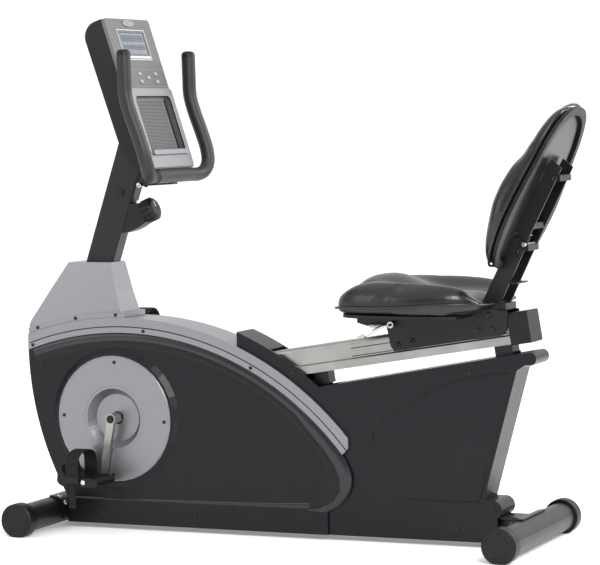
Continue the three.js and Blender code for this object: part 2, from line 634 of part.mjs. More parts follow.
// the console's face: a plate with the screen window, key holes and a sunk tray with a grille panel
function consoleFront() {
  const { halfWidth, height, face } = CONSOLE;
  const plate = beam(rounded(halfWidth, height / 2, 10, 0, height / 2), -face, 0);
  const keyHoles = Object.values(KEYS).map(([y, u]) => beam(
    rounded(KEY.halfWidth + 0.5, KEY.halfHeight + 0.5, 3, y, u, 2), -20, 20));
  const window = box([-20, 20], [SCREEN.y - SCREEN.halfWidth, SCREEN.y + SCREEN.halfWidth],
    [SCREEN.from, SCREEN.to]);
  const tray = beam(rounded(108, 86, 16, 4, 128), -6, 20);
  const border = cut(beam(rounded(halfWidth, 116, 10, 0, 116), -1, 4), beam(rounded(116, 94, 18, 4,
    128), -6, 20));
  return cut(join(cut(plate, tray), border), window, ...keyHoles);
}

function screen() {
  const { y, halfWidth, from, to } = SCREEN;
  return box([-7, -1.5], [y - halfWidth + GAP, y + halfWidth - GAP], [from + GAP, to - GAP]);
}

function key(y, u) {
  return beam(rounded(KEY.halfWidth, KEY.halfHeight, 2.6, y, u, 2), -8, KEY.proud);
}

// ---------------------------------------------------------------- handlebar
function barPath(fromT, toT, trims = {}) {
  const { halfWidth: w, crossX: x, crossZ: z } = BAR;
  const half = [[-414, w, 1349], [-413, w, 1290], [-411, w, 1236], [-399, w, 1190], [-377, w, 1130],
    [-360, w - 1, 1078], [-354, w - 8, 1042], [-357, w - 26, 1018], [-364, w - 52, z], [x, w - 90, z],
      [x, 60, z]];
  const route = [...half, [x, 0, z], ...half.map(([px, py, pz]) => [px, -py, pz]).reverse()];
  const curve = new THREE.CatmullRomCurve3(route.map((p) => new THREE.Vector3(...p)), false, 'centripetal');
  const count = trims.points ?? 33;
  return Array.from({ length: count }, (_, k) => {
    const t = fromT + (toT - fromT) * (k / (count - 1));
    return curve.getPointAt(t).toArray();
  });
}

function barPiece(radius, fromT, toT, steps, sides) {
  return sweep(barPath(fromT, toT), circle(radius, sides), steps);
}

// t runs from the right tip (0) to the left tip (1)
const BAR_SPAN = [0.006, 0.994];
const BAR_STEPS = 44;
const RIGHT_FOAM_END = 0.61;
const LEFT_FOAM_START = 0.645;

function handlebarStem(clearance) {
  return prism(polygon([[-500, 978 - clearance], [-366 + clearance, 984 - clearance],
    [-366 + clearance, 1008 + clearance], [-388, 1018 + clearance], [-490, 1020 + clearance]]),
      -17 - clearance, 17 + clearance);
}

function foam(fromT, toT, steps) {
  const sleeve = barPiece(BAR.foam, fromT, toT, steps, 6);
  return cut(sleeve, barPiece(BAR.radius + GAP, ...BAR_SPAN, BAR_STEPS, 6), handlebarStem(1));
}

function handlebar() {
  return barPiece(BAR.radius, ...BAR_SPAN, BAR_STEPS, 6);
}

function handlebarBracket() {
  const seat = rod(BAR.radius + 1, -40, 40, BAR.crossX, BAR.crossZ, 24);
  const stem = cut(handlebarStem(0), seat, inFrame(mast, box([-60, 44.5], [-60, 60], [400, 700])));
  return join(stem, inFrame(mast, box([42 + GAP, 47], [-19, 19], [500, 590])));
}

// ---------------------------------------------------------------- rail
function railProfile() {
  const path = new THREE.Path();
  path.moveTo(-42, 0);
  path.lineTo(42, 0);
  path.lineTo(42, 22);
  path.lineTo(36, 26);
  path.absarc(24, RAIL.height - 12, 12, 0, rad(90), false);
  path.lineTo(8, RAIL.height);
  path.lineTo(8, RAIL.height - 5);
  path.lineTo(-8, RAIL.height - 5);
  path.lineTo(-8, RAIL.height);
  path.absarc(-24, RAIL.height - 12, 12, rad(90), rad(180), false);
  path.lineTo(-36, 26);
  path.lineTo(-42, 22);
  const shape = outline(path, 4);
  shape.holes.push(rounded(32, 30, 8, 0, 35, 3));
  return shape;
}

function seatRail() {
  const bar = inFrame(rail, beam(railProfile(), RAIL.front, RAIL.rear));
  const arch = rod(ARCH.ridge + 4, -80, 80, ARCH.x, ARCH.z, 180);
  return cut(bar, arch);
}

function railEndCap() {
  const block = beam(rounded(46, 43, 6, 0, 40), RAIL.rear - 12, RAIL.rear + 46);
  const socket = box([RAIL.rear - 20, RAIL.rear + GAP], [-42 - GAP, 42 + GAP], [-GAP, RAIL.height + GAP]);
  return cut(block, socket);
}

// ---------------------------------------------------------------- seat
// two side plates beside the rail, joined by a deck under the seat
function seatCarriage() {
  const path = new THREE.Path();
  path.moveTo(322, 528.5);
  path.lineTo(628, 576);
  path.lineTo(640, 598);
  path.lineTo(640, 640);
  path.lineTo(596, 646);
  path.lineTo(500, 624);
  path.lineTo(207, 624);
  path.lineTo(207, 603);
  path.lineTo(236, 595);
  path.lineTo(294, 592);
  path.lineTo(303, 548);
  path.quadraticCurveTo(306, 529, 322, 528.5);
  const plates = [[46, 46 + PLATE], [-46 - PLATE, -46]].map(([a, b]) => prism(outline(path, 6), a, b));
  const deck = box([209, 490], [-46 - PLATE / 2, 46 + PLATE / 2], [619, 624]);
  const pin = rod(3.9, -76, -48, LEVER_PIVOT.x, LEVER_PIVOT.z, 12);
  return cut(join(...plates, deck, pin), box([330, 380], [-30, 30], [600, 640]));
}

// a slippery strip between a side plate and the rail, thick at each pair of bolts
function glideBlock(side) {
  const strip = join(box([108, 182], [0, 9.2], [27, 66]), box([180, 350], [2, 7], [38, 56]), box([346,
    420], [0, 9.2], [27, 66]));
  return handed(inFrame(rail, strip.translate(0, 36 + GAP, 0)), side);
}

// the two posts that rise from the carriage to the backrest, with a tie between them
function seatPosts() {
  const rearEdge = (z) => 590.6 + 0.486 * (z - 599);
  const plate = polygon([[rearEdge(613) - 54, 613], [rearEdge(613), 613], [rearEdge(836), 836],
    [rearEdge(836) - 50, 836]]);
  const sides = [prism(plate, 40.6, 45), prism(plate, -45, -40.6)];
  const ties = [[602, 640, 642, 660], [636, 674, 712, 716], [688, 706, 800, 816]]
    .map(([x0, x1, z0, z1]) => box([x0 - 6, x1 - 6], [-42, 42], [z0, z1]));
  return cut(join(...sides, ...ties), backBoltHole());
}

// the seat cushion: its plan and its side view, cut from one block
function seatPad() {
  const half = [[184, 118], [206, 158], [262, 188], [350, 204], [450, 208], [536, 192], [590, 150],
    [608, 90]];
  const points = [...half, ...half.map(([x, y]) => [x, -y]).reverse()];
  const loop = new THREE.CatmullRomCurve3(points.map(([x, y]) => new THREE.Vector3(x, y, 0)), true,
    'centripetal');
  const rim = loop.getPoints(40).slice(0, -1).map((p) => new THREE.Vector2(p.x, p.y));
  const block = new THREE.ExtrudeGeometry(new THREE.Shape(rim), { depth: 130, bevelEnabled: false });
  block.translate(0, 0, SEAT.bottom - 10);
  const side = new THREE.Path();
  side.moveTo(196, SEAT.bottom);
  side.quadraticCurveTo(176, 640, 180, 668);
  side.bezierCurveTo(186, 740, 260, 738, 330, 732);
  side.bezierCurveTo(430, 724, 460, 680, 560, 676);
  side.quadraticCurveTo(612, 674, 612, 658);
  side.quadraticCurveTo(610, 646, 560, 641);
  side.lineTo(500, SEAT.bottom);
  const rearEdge = (z) => 590.6 + 0.486 * (z - 599) - 58;
  const notch = polygon([[rearEdge(620), 620], [720, 620], [720, 780], [rearEdge(780), 780]]);
  return cut(common(block, prism(outline(side, 8), -240, 240)), prism(notch, -51, 51));
}

// ---------------------------------------------------------------- backrest
// half widths of the backrest at heights above its widest line
const BACK_HALF = [[-150, 84], [-132, 132], [-84, 168], [0, 188], [78, 178], [157, 156], [222, 140],
  [286, 100], [316, 44]];

// the backrest's outline in its own Y and Z, drawn inwards by an inset
function backShape(inset) {
  const ring0 = [...BACK_HALF, ...BACK_HALF.map(([s, w]) => [s, -w]).reverse()];
  const loop = new THREE.CatmullRomCurve3(ring0.map(([s, w]) => new THREE.Vector3(w, s, 0)), true,
    'centripetal');
  const points = loop.getPoints(44).slice(0, -1);
  const centre = new THREE.Vector3(0, 80, 0);
  return new THREE.Shape(points.map((p) => {
    const inward = centre.clone().sub(p).normalize().multiplyScalar(inset);
    return new THREE.Vector2(p.x + inward.x, p.y + inward.y);
  }));
}

function backPad() {
  const { padThickness, rim } = BACK;
  const slab = join(
    beam(backShape(0), -padThickness + 12, 0),
    beam(backShape(12), -padThickness, -padThickness + 13),
  );
  return cut(slab, beam(backShape(rim), -16.5, 5), box([-12, 5], [-54, 54], [-170, -100]));
}

// the moulded rear shell: a rim behind the cushion and a sunk panel
function backShell() {
  const { rim } = BACK;
  const tray = join(beam(backShape(1), GAP, 10), beam(backShape(rim + GAP), -16, GAP + 1));
  return cut(tray, beam(backShape(rim + 6), -11, 20), box([-11, 20], [-52, 52], [-170, -100]));
}

// the steel channel on the back of the shell, bolted to the posts
function backBracket() {
  const rearEdge = (z) => 590.6 + 0.486 * (z - 599);
  const plate = polygon([[661, 858], [rearEdge(823) - 2, 823], [rearEdge(979) + 2, 979],
    [rearEdge(1019) + 3, 1019],
    [rearEdge(1039) - 34, 1042], [rearEdge(1000) - 40, 1000]]);
  const sides = [prism(plate, 45.4, 49.8), prism(plate, -49.8, -45.4)];
  const tie = box([770, 792], [-47, 47], [984, 1000]);
  const low = box([700, 716], [-47, 47], [858, 874]);
  const panelCut = beam(backShape(0), -60, -11 + GAP).applyMatrix4(back.matrix);
  return cut(join(...sides, tie, low), panelCut, backBoltHole());
}

// the bolt that runs through both posts and both sides of the bracket
function backBolt() {
  const heads = [1, -1].map((side) => {
    const head = new THREE.CylinderGeometry(6, 7.5, 5, 12);
    if (side < 0) head.rotateX(Math.PI);
    return head.translate(BACK_BOLT.x, side * 52.7, BACK_BOLT.z);
  });
  return join(rod(BACK_BOLT.radius, -52, 52, BACK_BOLT.x, BACK_BOLT.z, 16), ...heads);
}
const backBoltHole = () => rod(BACK_BOLT.radius + GAP, -90, 90, BACK_BOLT.x, BACK_BOLT.z, 16);

// ---------------------------------------------------------------- seat adjuster
const LEVER_PIVOT = { x: 312, z: 600 };

// a bent wire lever under the front of the seat
function adjustLever() {
  const wire = sweep([[312, -64, 600], [290, -64, 596], [262, -64, 584], [240, -64, 571], [222, -64, 568]],
    circle(4, 4), 14);
  const foot = box([216, 236], [-72, -56], [564, 569]);
  const hub = rod(9, -70, -52, LEVER_PIVOT.x, LEVER_PIVOT.z, 16);
  return cut(join(wire, foot, hub), rod(4.3, -80, -40, LEVER_PIVOT.x, LEVER_PIVOT.z, 12));
}

// ---------------------------------------------------------------- assembly
const axle = (side) => ({
  x: CRANK.x + side * CRANK.length * Math.sin(rad(CRANK.lean)),
  z: CRANK.z + side * CRANK.length * Math.cos(rad(CRANK.lean)),
});
const SIDES = [['left', -1], ['right', 1]];

part('base_frame', baseFrame(), BLACK_STEEL);
part('front_stabiliser', floorTube(FLOOR_TUBE.frontX), GREY_STEEL);
part('rear_stabiliser', floorTube(FLOOR_TUBE.rearX), GREY_STEEL);
for (const [side, sign] of SIDES) {
  part(`front_${side}_end_cap`, endCapAt(FLOOR_TUBE.frontX, sign), BLACK_PLASTIC);
  part(`rear_${side}_end_cap`, endCapAt(FLOOR_TUBE.rearX, sign), BLACK_PLASTIC);
}

for (const [side, sign] of SIDES) {
  part(`${side}_front_panel`, frontPanel(sign), CHARCOAL);
  part(`${side}_rear_shell`, rearShell(sign), CHARCOAL);
  part(`${side}_neck_cowl`, neckCowl(sign), CHARCOAL);
  part(`${side}_crank_disc`, crankDisc(sign), SILVER);
}
part('arch_cowl', archCowl(), SILVER);

part('crank_spindle', crankSpindle(), CHROME, crankFrame);
part('right_crank_arm', crankArm(), BLACK_STEEL, crankFrame);
part('left_crank_arm', crankArm().rotateX(Math.PI), BLACK_STEEL, crankFrame);
part('right_pedal_axle', pedalAxle(), CHROME, crankFrame);
part('left_pedal_axle', pedalAxle().rotateX(Math.PI), CHROME, crankFrame);
part('drive_pulley', drivePulley(), BLACK_PLASTIC, crankFrame);
for (const [side, sign] of SIDES) {
  const { x, z } = axle(sign);
  part(`${side}_pedal`, handed(pedalBody(), sign).translate(x, 0, z), BLACK_PLASTIC);
  part(`${side}_pedal_strap`, handed(pedalStrap(STRAP[side]), sign).translate(x, 0, z), RUBBER);
}
part('drive_belt', driveBelt(), RUBBER);
part('flywheel', flywheel().translate(FLYWHEEL.x, 0, FLYWHEEL.z), IRON);
part('flywheel_axle', flywheelAxle().translate(FLYWHEEL.x, 0, FLYWHEEL.z), CHROME);
part('flywheel_bearings', bearingPair(13.6, 6.3, FLYWHEEL.fromY, 25, 9, FLYWHEEL), IRON);
part('crank_bearings', bearingPair(16.8, 8.7, -33, 12, 11, CRANK), IRON);
part('brake_bracket', brakeBracket(), GREY_STEEL);

part('mast', mastTube(), BLACK_STEEL, mast);
part('knob_housing', knobHousing(), BLACK_PLASTIC);
const knob = tensionKnob().rotateZ(-Math.PI / 2).rotateY(-rad(KNOB.lift)).translate(KNOB.x, 0, KNOB.z);
part('tension_knob', knob, BLACK_PLASTIC);
part('tension_cable', tensionCable(), BLACK_PLASTIC);

part('console_back', consoleBack(), BLACK_PLASTIC, consoleFrame);
part('console_front', consoleFront(), CHARCOAL, consoleFrame);
part('console_screen', screen(), LCD_GREY, consoleFrame);
for (const [name, [y, u]] of Object.entries(KEYS)) {
  part(name, key(y, u), LIGHT_KEY, consoleFrame);
}

part('handlebar', handlebar(), BLACK_STEEL);
part('right_grip', foam(0, RIGHT_FOAM_END, 26), FOAM);
part('left_grip', foam(LEFT_FOAM_START, 1, 20), FOAM);
part('handlebar_bracket', handlebarBracket(), BLACK_STEEL);

part('seat_rail', seatRail(), ALUMINIUM);
part('rail_end_cap', railEndCap(), BLACK_PLASTIC, rail);

part('seat_carriage', seatCarriage(), BLACK_STEEL);
part('left_glide_strip', glideBlock(-1), BLACK_PLASTIC);
part('right_glide_strip', glideBlock(1), BLACK_PLASTIC);
part('seat_posts', seatPosts(), BLACK_STEEL);
part('back_bolt', backBolt(), CHROME);
part('seat_pad', seatPad(), VINYL);
part('back_bracket', backBracket(), BLACK_STEEL);
part('back_shell', backShell(), BLACK_PLASTIC, back);
part('back_pad', backPad(), VINYL, back);
part('adjust_lever', adjustLever(), CHROME);

export default bike;
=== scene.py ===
# %% [markdown]
# # A recumbent exercise bike
#
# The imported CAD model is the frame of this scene: every piece stands where the CAD says. This
# script gives each CAD node its material, swaps the plain cushions for padded ones, and adds the
# small details that ride on the CAD bodies: screws, seams, the screen, treads and springs.
#
# Metres, Z up. +X is the rear of the bike, and -Y is the rider's left.

# %% Set up
import json
import math

import bmesh
import bpy
import numpy as np
from mathutils import Matrix, Vector


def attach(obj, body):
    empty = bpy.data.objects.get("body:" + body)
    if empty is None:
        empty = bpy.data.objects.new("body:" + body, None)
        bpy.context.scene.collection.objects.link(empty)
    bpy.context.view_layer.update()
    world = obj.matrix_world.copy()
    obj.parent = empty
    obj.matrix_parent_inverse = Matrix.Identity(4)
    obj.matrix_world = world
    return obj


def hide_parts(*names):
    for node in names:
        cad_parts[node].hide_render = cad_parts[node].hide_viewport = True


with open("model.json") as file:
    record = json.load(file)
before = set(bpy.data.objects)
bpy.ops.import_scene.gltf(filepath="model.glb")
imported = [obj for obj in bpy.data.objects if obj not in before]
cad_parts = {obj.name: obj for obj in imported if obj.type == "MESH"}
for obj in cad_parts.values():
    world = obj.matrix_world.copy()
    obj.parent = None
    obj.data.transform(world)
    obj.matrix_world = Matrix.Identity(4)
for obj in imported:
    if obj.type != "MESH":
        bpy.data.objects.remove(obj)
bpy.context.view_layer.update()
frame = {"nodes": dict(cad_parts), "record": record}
nodes = frame["nodes"]

# %% [markdown]
# ## The camera
#
# A long lens from the rider's left and slightly behind keeps the casings' edges nearly parallel.
# The camera could be aimed with a Track To constraint, but its roll would stay hidden. Here its own
# axes are worked out from a heading, a small downward pitch and a slight roll.

# %% Camera
HEADING, PITCH, ROLL = (math.radians(d) for d in (24.2, 3.8, -1.2))
CAMERA_AT = Vector((2.8826, -6.3781, 1.1726))
LENS_MM, SENSOR_MM = 151.48, 36

forward = Vector((-math.sin(HEADING) * math.cos(PITCH),
                  math.cos(HEADING) * math.cos(PITCH), -math.sin(PITCH)))
level_right = Vector((math.cos(HEADING), math.sin(HEADING), 0))
level_up = level_right.cross(forward)
right = math.cos(ROLL) * level_right + math.sin(ROLL) * level_up
up = -math.sin(ROLL) * level_right + math.cos(ROLL) * level_up

camera_data = bpy.data.cameras.new("camera")
camera_data.lens = LENS_MM
camera_data.sensor_width = SENSOR_MM
camera = bpy.data.objects.new("camera", camera_data)
camera.matrix_world = Matrix((
    (right.x, up.x, -forward.x, CAMERA_AT.x),
    (right.y, up.y, -forward.y, CAMERA_AT.y),
    (right.z, up.z, -forward.z, CAMERA_AT.z),
    (0, 0, 0, 1),
))
bpy.context.scene.collection.objects.link(camera)
bpy.context.scene.camera = camera
print(f"camera {CAMERA_AT.length:.2f} m from the origin, lens {LENS_MM} mm")

# %% [markdown]
# ## Materials
#
# Each finish is a Principled shader with its real colour, roughness and index of refraction. An
# image could carry the small variations, but noise in object coordinates needs no unwrapping and
# is sized in millimetres, so that is what the helpers build.

# %% Colours and nodes
def linear(hex_colour):
    """An sRGB hex colour as linear RGBA: each channel is the sRGB curve undone."""
    channels = [int(hex_colour[i:i + 2], 16) / 255 for i in (1, 3, 5)]
    return [c / 12.92 if c <= 0.04045 else ((c + 0.055) / 1.055) ** 2.4 for c in channels] + [1.0]


def add(mat, kind, **inputs):
    """Adds a node to a material or world. A value sets an input, and a socket is linked to it."""
    node = mat.node_tree.nodes.new(kind)
    for name, value in inputs.items():
        socket = node.inputs[name.replace("_", " ")]
        if isinstance(value, bpy.types.NodeSocket):
            mat.node_tree.links.new(value, socket)
        else:
            socket.default_value = value
    return node


def finish_of(name, colour, roughness, metallic=0.0, coat=0.0, gloss=0.5):
    """A named material with a plain Principled shader; gloss scales its plain reflection."""
    mat = bpy.data.materials.new(name)
    mat.use_nodes = True
    shader = mat.node_tree.nodes["Principled BSDF"]
    shader.inputs["Base Color"].default_value = linear(colour)
    shader.inputs["Roughness"].default_value = roughness
    shader.inputs["Metallic"].default_value = metallic
    shader.inputs["IOR"].default_value = 1.5
    shader.inputs["Coat Weight"].default_value = coat
    shader.inputs["Specular IOR Level"].default_value = gloss
    return mat, shader


# %% Patterns
def place(mat, stretch=(1, 1, 1)):
    """Object coordinates in metres, stretched along the axes."""
    where = add(mat, "ShaderNodeTexCoord")
    return add(mat, "ShaderNodeMapping", Vector=where.outputs["Object"], Scale=stretch).outputs["Vector"]


def mottle(mat, shader, dark, light, size_mm):
    """The colour drifts between two shades over patches of about size_mm."""
    noise = add(mat, "ShaderNodeTexNoise", Vector=place(mat), Scale=1000 / size_mm, Detail=5.0)
    ramp = add(mat, "ShaderNodeValToRGB", Fac=noise.outputs["Fac"])
    for stop, position, colour in zip(ramp.color_ramp.elements, (0.35, 0.65), (dark, light)):
        stop.position, stop.color = position, linear(colour)
    mat.node_tree.links.new(ramp.outputs["Color"], shader.inputs["Base Color"])


def vary_gloss(mat, shader, low, high, size_mm):
    """The roughness drifts between two values, as handling and cleaning leave it."""
    noise = add(mat, "ShaderNodeTexNoise", Vector=place(mat), Scale=1000 / size_mm, Detail=3.0)
    spread = add(mat, "ShaderNodeMapRange", Value=noise.outputs["Fac"], To_Min=low, To_Max=high)
    mat.node_tree.links.new(spread.outputs["Result"], shader.inputs["Roughness"])


def grain(mat, shader, size_mm, height_mm, stretch=(1, 1, 1), pattern="noise", strength=0.6):
    """A fine relief of a given size and height: noise for mouldings, cells for hide."""
    where = place(mat, stretch)
    if pattern == "cells":
        tex = add(mat, "ShaderNodeTexVoronoi", Vector=where, Scale=1000 / size_mm)
        tex.feature = "SMOOTH_F1"
        height = tex.outputs["Distance"]
    else:
        height = add(mat, "ShaderNodeTexNoise", Vector=where, Scale=1000 / size_mm, Detail=2.0).outputs["Fac"]
    bump = add(mat, "ShaderNodeBump", Height=height, Strength=strength, Distance=height_mm / 1000)
    mat.node_tree.links.new(bump.outputs["Normal"], shader.inputs["Normal"])


# %% [markdown]
# ## Plastics
#
# The casings are injection-moulded ABS. Its mould is spark-eroded, which leaves a fine satin grain
# that spreads every highlight. The band round the front panel comes from a polished part of the mould
# and shines more, and its lighter colour is a painted highlight on its raised ridge. The silver
# casings are lacquered.

# %% Plastic finishes
def charcoal_moulding():
    """Spark-textured ABS: a fine satin grain, a little cleaner in places."""
    mat, shader = finish_of("charcoal_abs", "#0c0d12", 0.33, gloss=0.26)
    mottle(mat, shader, "#0b0c11", "#0e0f14", 60)
    vary_gloss(mat, shader, 0.3, 0.37, 40)
    grain(mat, shader, 0.9, 0.05)
    return mat


def band_moulding_painted_highlight():
    """Polished charcoal ABS: sharper highlights than the panel round it, and a lighter colour that paints the
    highlight on its raised ridge.
    """
    mat, shader = finish_of("band_abs_painted_highlight", "#16171b", 0.24)
    mottle(mat, shader, "#141519", "#181a1e", 50)
    vary_gloss(mat, shader, 0.22, 0.32, 30)
    grain(mat, shader, 0.8, 0.03)
    return mat


def silver_paint():
    """Silver lacquer over a smooth moulding: metal flake gives it a soft, grey glow."""
    mat, shader = finish_of("silver_lacquer", "#88898c", 0.38, metallic=0.85, coat=0.1)
    mottle(mat, shader, "#838487", "#8d8e91", 1.2)
    grain(mat, shader, 0.7, 0.01, strength=0.3)
    return mat


def console_grey():
    """Warm grey lacquer over the console's face: duller than the silver one."""
    mat, shader = finish_of("console_grey", "#5d5d5c", 0.4, metallic=0.3)
    mottle(mat, shader, "#595958", "#626261", 3)
    grain(mat, shader, 0.7, 0.02)
    return mat


def black_moulding():
    """Textured black ABS for small mouldings: nearly no highlight."""
    mat, shader = finish_of("black_abs", "#0c0c0d", 0.46, gloss=0.3)
    mottle(mat, shader, "#0b0b0c", "#0f0f10", 30)
    vary_gloss(mat, shader, 0.4, 0.52, 25)
    grain(mat, shader, 0.7, 0.05)
    return mat


def pale_key():
    """Moulded silicone rubber keys: pale, soft and slightly green."""
    mat, shader = finish_of("pale_key", "#7f8885", 0.45)
    mottle(mat, shader, "#7a8380", "#858e8b", 12)
    grain(mat, shader, 0.6, 0.03)
    return mat


def lcd_glass():
    """The grey field of a liquid crystal display under a clear sheet: a sharp reflection."""
    mat, shader = finish_of("lcd_field", "#6b7178", 0.15, coat=0.5)
    mottle(mat, shader, "#676d74", "#70767d", 40)
    return mat


def white_trim():
    """Printed white trim on the console's face."""
    mat, shader = finish_of("white_trim", "#b9bbbc", 0.4)
    mottle(mat, shader, "#b5b7b8", "#bfc1c2", 30)
    grain(mat, shader, 0.8, 0.02)
    return mat


# %% [markdown]
# ## Rubber, foam and vinyl
#
# The soft finishes differ mostly in how they scatter light. Foam and rubber are dull. The vinyl is
# embossed with small hide cells, and its sheen is what shows the shape of a black cushion.

# %% Soft finishes
def ribbed_rubber():
    """Moulded rubber: dull, with a fine bloom."""
    mat, shader = finish_of("black_rubber", "#101010", 0.7, gloss=0.25)
    mottle(mat, shader, "#0e0e0e", "#151515", 15)
    grain(mat, shader, 0.6, 0.08)
    return mat


def grip_foam():
    """Closed-cell foam with a rubbed skin: fine open pores under a soft sheen."""
    mat, shader = finish_of("grip_foam", "#111111", 0.5)
    mottle(mat, shader, "#0f0f0f", "#151515", 2.5)
    grain(mat, shader, 1.1, 0.25, pattern="cells", strength=0.8)
    return mat


def seat_vinyl():
    """Grained vinyl: small hide cells, a sheen, and broad gloss changes where it is sat on."""
    mat, shader = finish_of("seat_vinyl", "#131312", 0.3)
    mottle(mat, shader, "#111110", "#161615", 45)
    vary_gloss(mat, shader, 0.24, 0.36, 60)
    grain(mat, shader, 1.6, 0.18, pattern="cells", strength=0.55)
    return mat


# %% [markdown]
# ## Metals
#
# The frame is powder-coated steel, so the eye sees a plastic skin with a slight orange peel. Bare
# metals are fully metallic: plated steel on bolts, turned iron on the flywheel, and an anodised
# extrusion for the rail, with the lines of its die along it.

# %% Metal finishes
def powder_coat(name, dark, light):
    """Powder coat: a satin skin with a slight orange peel."""
    mat, shader = finish_of(name, light, 0.34, gloss=0.35)
    mottle(mat, shader, dark, light, 50)
    vary_gloss(mat, shader, 0.33, 0.44, 30)
    grain(mat, shader, 1.8, 0.04, strength=0.4)
    return mat


def bright_steel():
    """Nickel-plated steel: bright, with small changes of polish."""
    mat, shader = finish_of("plated_steel", "#c4c6c8", 0.2, metallic=1.0)
    vary_gloss(mat, shader, 0.15, 0.28, 8)
    grain(mat, shader, 0.8, 0.01, strength=0.2)
    return mat


def machined_iron():
    """Turned cast iron: darker than steel, with a dry gleam."""
    mat, shader = finish_of("machined_iron", "#6b6e72", 0.45, metallic=1.0)
    mottle(mat, shader, "#606367", "#75787c", 20)
    grain(mat, shader, 0.8, 0.03)
    return mat


def rail_aluminium():
    """An anodised extrusion: faint lines run along it, which is along X here."""
    mat, shader = finish_of("anodised_aluminium", "#9b9b98", 0.34, metallic=0.95)
    mottle(mat, shader, "#949491", "#a2a29f", 90)
    vary_gloss(mat, shader, 0.28, 0.4, 50)
    grain(mat, shader, 1.2, 0.02, stretch=(0.02, 1, 1), strength=0.35)
    return mat


# %% The finish of each slot
FINISHES = {
    "charcoal_plastic": charcoal_moulding(),
    "silver_paint": silver_paint(),
    "black_plastic": black_moulding(),
    "black_steel": powder_coat("black_powder_coat", "#0d0e10", "#111214"),
    "grey_steel": powder_coat("grey_powder_coat", "#131416", "#17181a"),
    "rubber": ribbed_rubber(),
    "foam": grip_foam(),
    "vinyl": seat_vinyl(),
    "chrome": bright_steel(),
    "iron": machined_iron(),
    "aluminium": rail_aluminium(),
    "key_plastic": pale_key(),
    "screen": lcd_glass(),
}
WHITE = white_trim()
CONSOLE_GREY = console_grey()
BAND_PAINTED_HIGHLIGHT = band_moulding_painted_highlight()
print(f"{len(FINISHES) + 3} finishes")

# %% [markdown]
# ## Dress the CAD nodes
#
# Each node takes the finish of its slot. A real edge is never sharp: mouldings have wide radii and
# bent steel has small ones. The radius could be modelled in CAD, but a Bevel modifier is lighter and
# leaves the CAD mesh as it is.

# %% Finishes and edges of the CAD nodes
SLOT_OF = {entry["node"]: entry["material_slot"] for entry in frame["record"]["subparts"]}
EDGE_MM = {
    "charcoal_plastic": 2.2, "silver_paint": 2.4, "black_plastic": 1.4, "black_steel": 0.9,
    "grey_steel": 0.8, "aluminium": 1.0, "key_plastic": 0.8, "iron": 0.8, "chrome": 0.5,
}
SMALL_EDGE_MM = 0.4


def soften(piece, width_mm):
    """Rounds the edges sharper than 32 degrees and smooths the rest of the shading."""
    piece.data.polygons.foreach_set("use_smooth", np.ones(len(piece.data.polygons), bool))
    bevel = piece.modifiers.new("edges", "BEVEL")
    bevel.width = width_mm / 1000
    bevel.segments = 2
    bevel.limit_method = "ANGLE"
    bevel.angle_limit = math.radians(32)
    bevel.harden_normals = True


for name, piece in nodes.items():
    slot = SLOT_OF[name]
    piece.data.materials.clear()
    piece.data.materials.append(FINISHES[slot])
    soften(piece, EDGE_MM.get(slot, SMALL_EDGE_MM))

nodes["console_front"].data.materials[0] = CONSOLE_GREY

# %% [markdown]
# ## Building blocks
#
# Most small parts are one of three shapes: a tube that follows points, a turned piece, or a flat
# plate. Blender's own primitives could be placed one by one, but then each needs its own transform.
# Here a shape is a grid of points worked out at once in a local frame, and taken to its place.

# %% Pieces and grids
def mesh_piece(name, verts, faces, slot, body, finish=None, smooth=True):
    """A mesh at the origin that rides on a body and takes its finish from a slot."""
    mesh = bpy.data.meshes.new(name)
    mesh.from_pydata(verts.tolist(), [], faces)
    bm = bmesh.new()
    bm.from_mesh(mesh)
    bmesh.ops.recalc_face_normals(bm, faces=bm.faces)
    bm.to_mesh(mesh)
    bm.free()
    mesh.polygons.foreach_set("use_smooth", np.full(len(mesh.polygons), smooth))
    piece = bpy.data.objects.new(name, mesh)
    bpy.context.scene.collection.objects.link(piece)
    piece.data.materials.append(finish or FINISHES[slot])
    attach(piece, body)
    print(f"{name}: {len(faces)} faces, on {body}")
    return piece


def placed(matrix, points):
    """Local points taken to their place: each is turned by the matrix and then moved."""
    values = np.array(matrix)
    return np.asarray(points, float) @ values[:3, :3].T + values[:3, 3]


def grid_faces(rows, cols, wrap=True, offset=0, close=False):
    """Quads between neighbouring points of a grid. Rows wrap round on themselves if wrap is set,
    and the last row joins the first one if close is set."""
    index = offset + np.arange(rows * cols).reshape(rows, cols)
    if close:
        index = np.vstack([index, index[:1]])
    here, there = (index, np.roll(index, -1, 1)) if wrap else (index[:, :-1], index[:, 1:])
    return np.stack([here[:-1], there[:-1], there[1:], here[1:]], -1).reshape(-1, 4).tolist()


def end_caps(rows, cols):
    """The first and last row of a wrapped grid as faces that look away from each other."""
    return [list(range(cols))[::-1], list(range((rows - 1) * cols, rows * cols))]


def merged(parts):
    """Several (vertices, faces) pairs as one: each part's numbers start after the last part's."""
    starts = np.cumsum([0] + [len(verts) for verts, _ in parts]).tolist()
    faces = [[start + v for v in face] for start, (_, part) in zip(starts, parts) for face in part]
    return np.concatenate([verts for verts, _ in parts]), faces


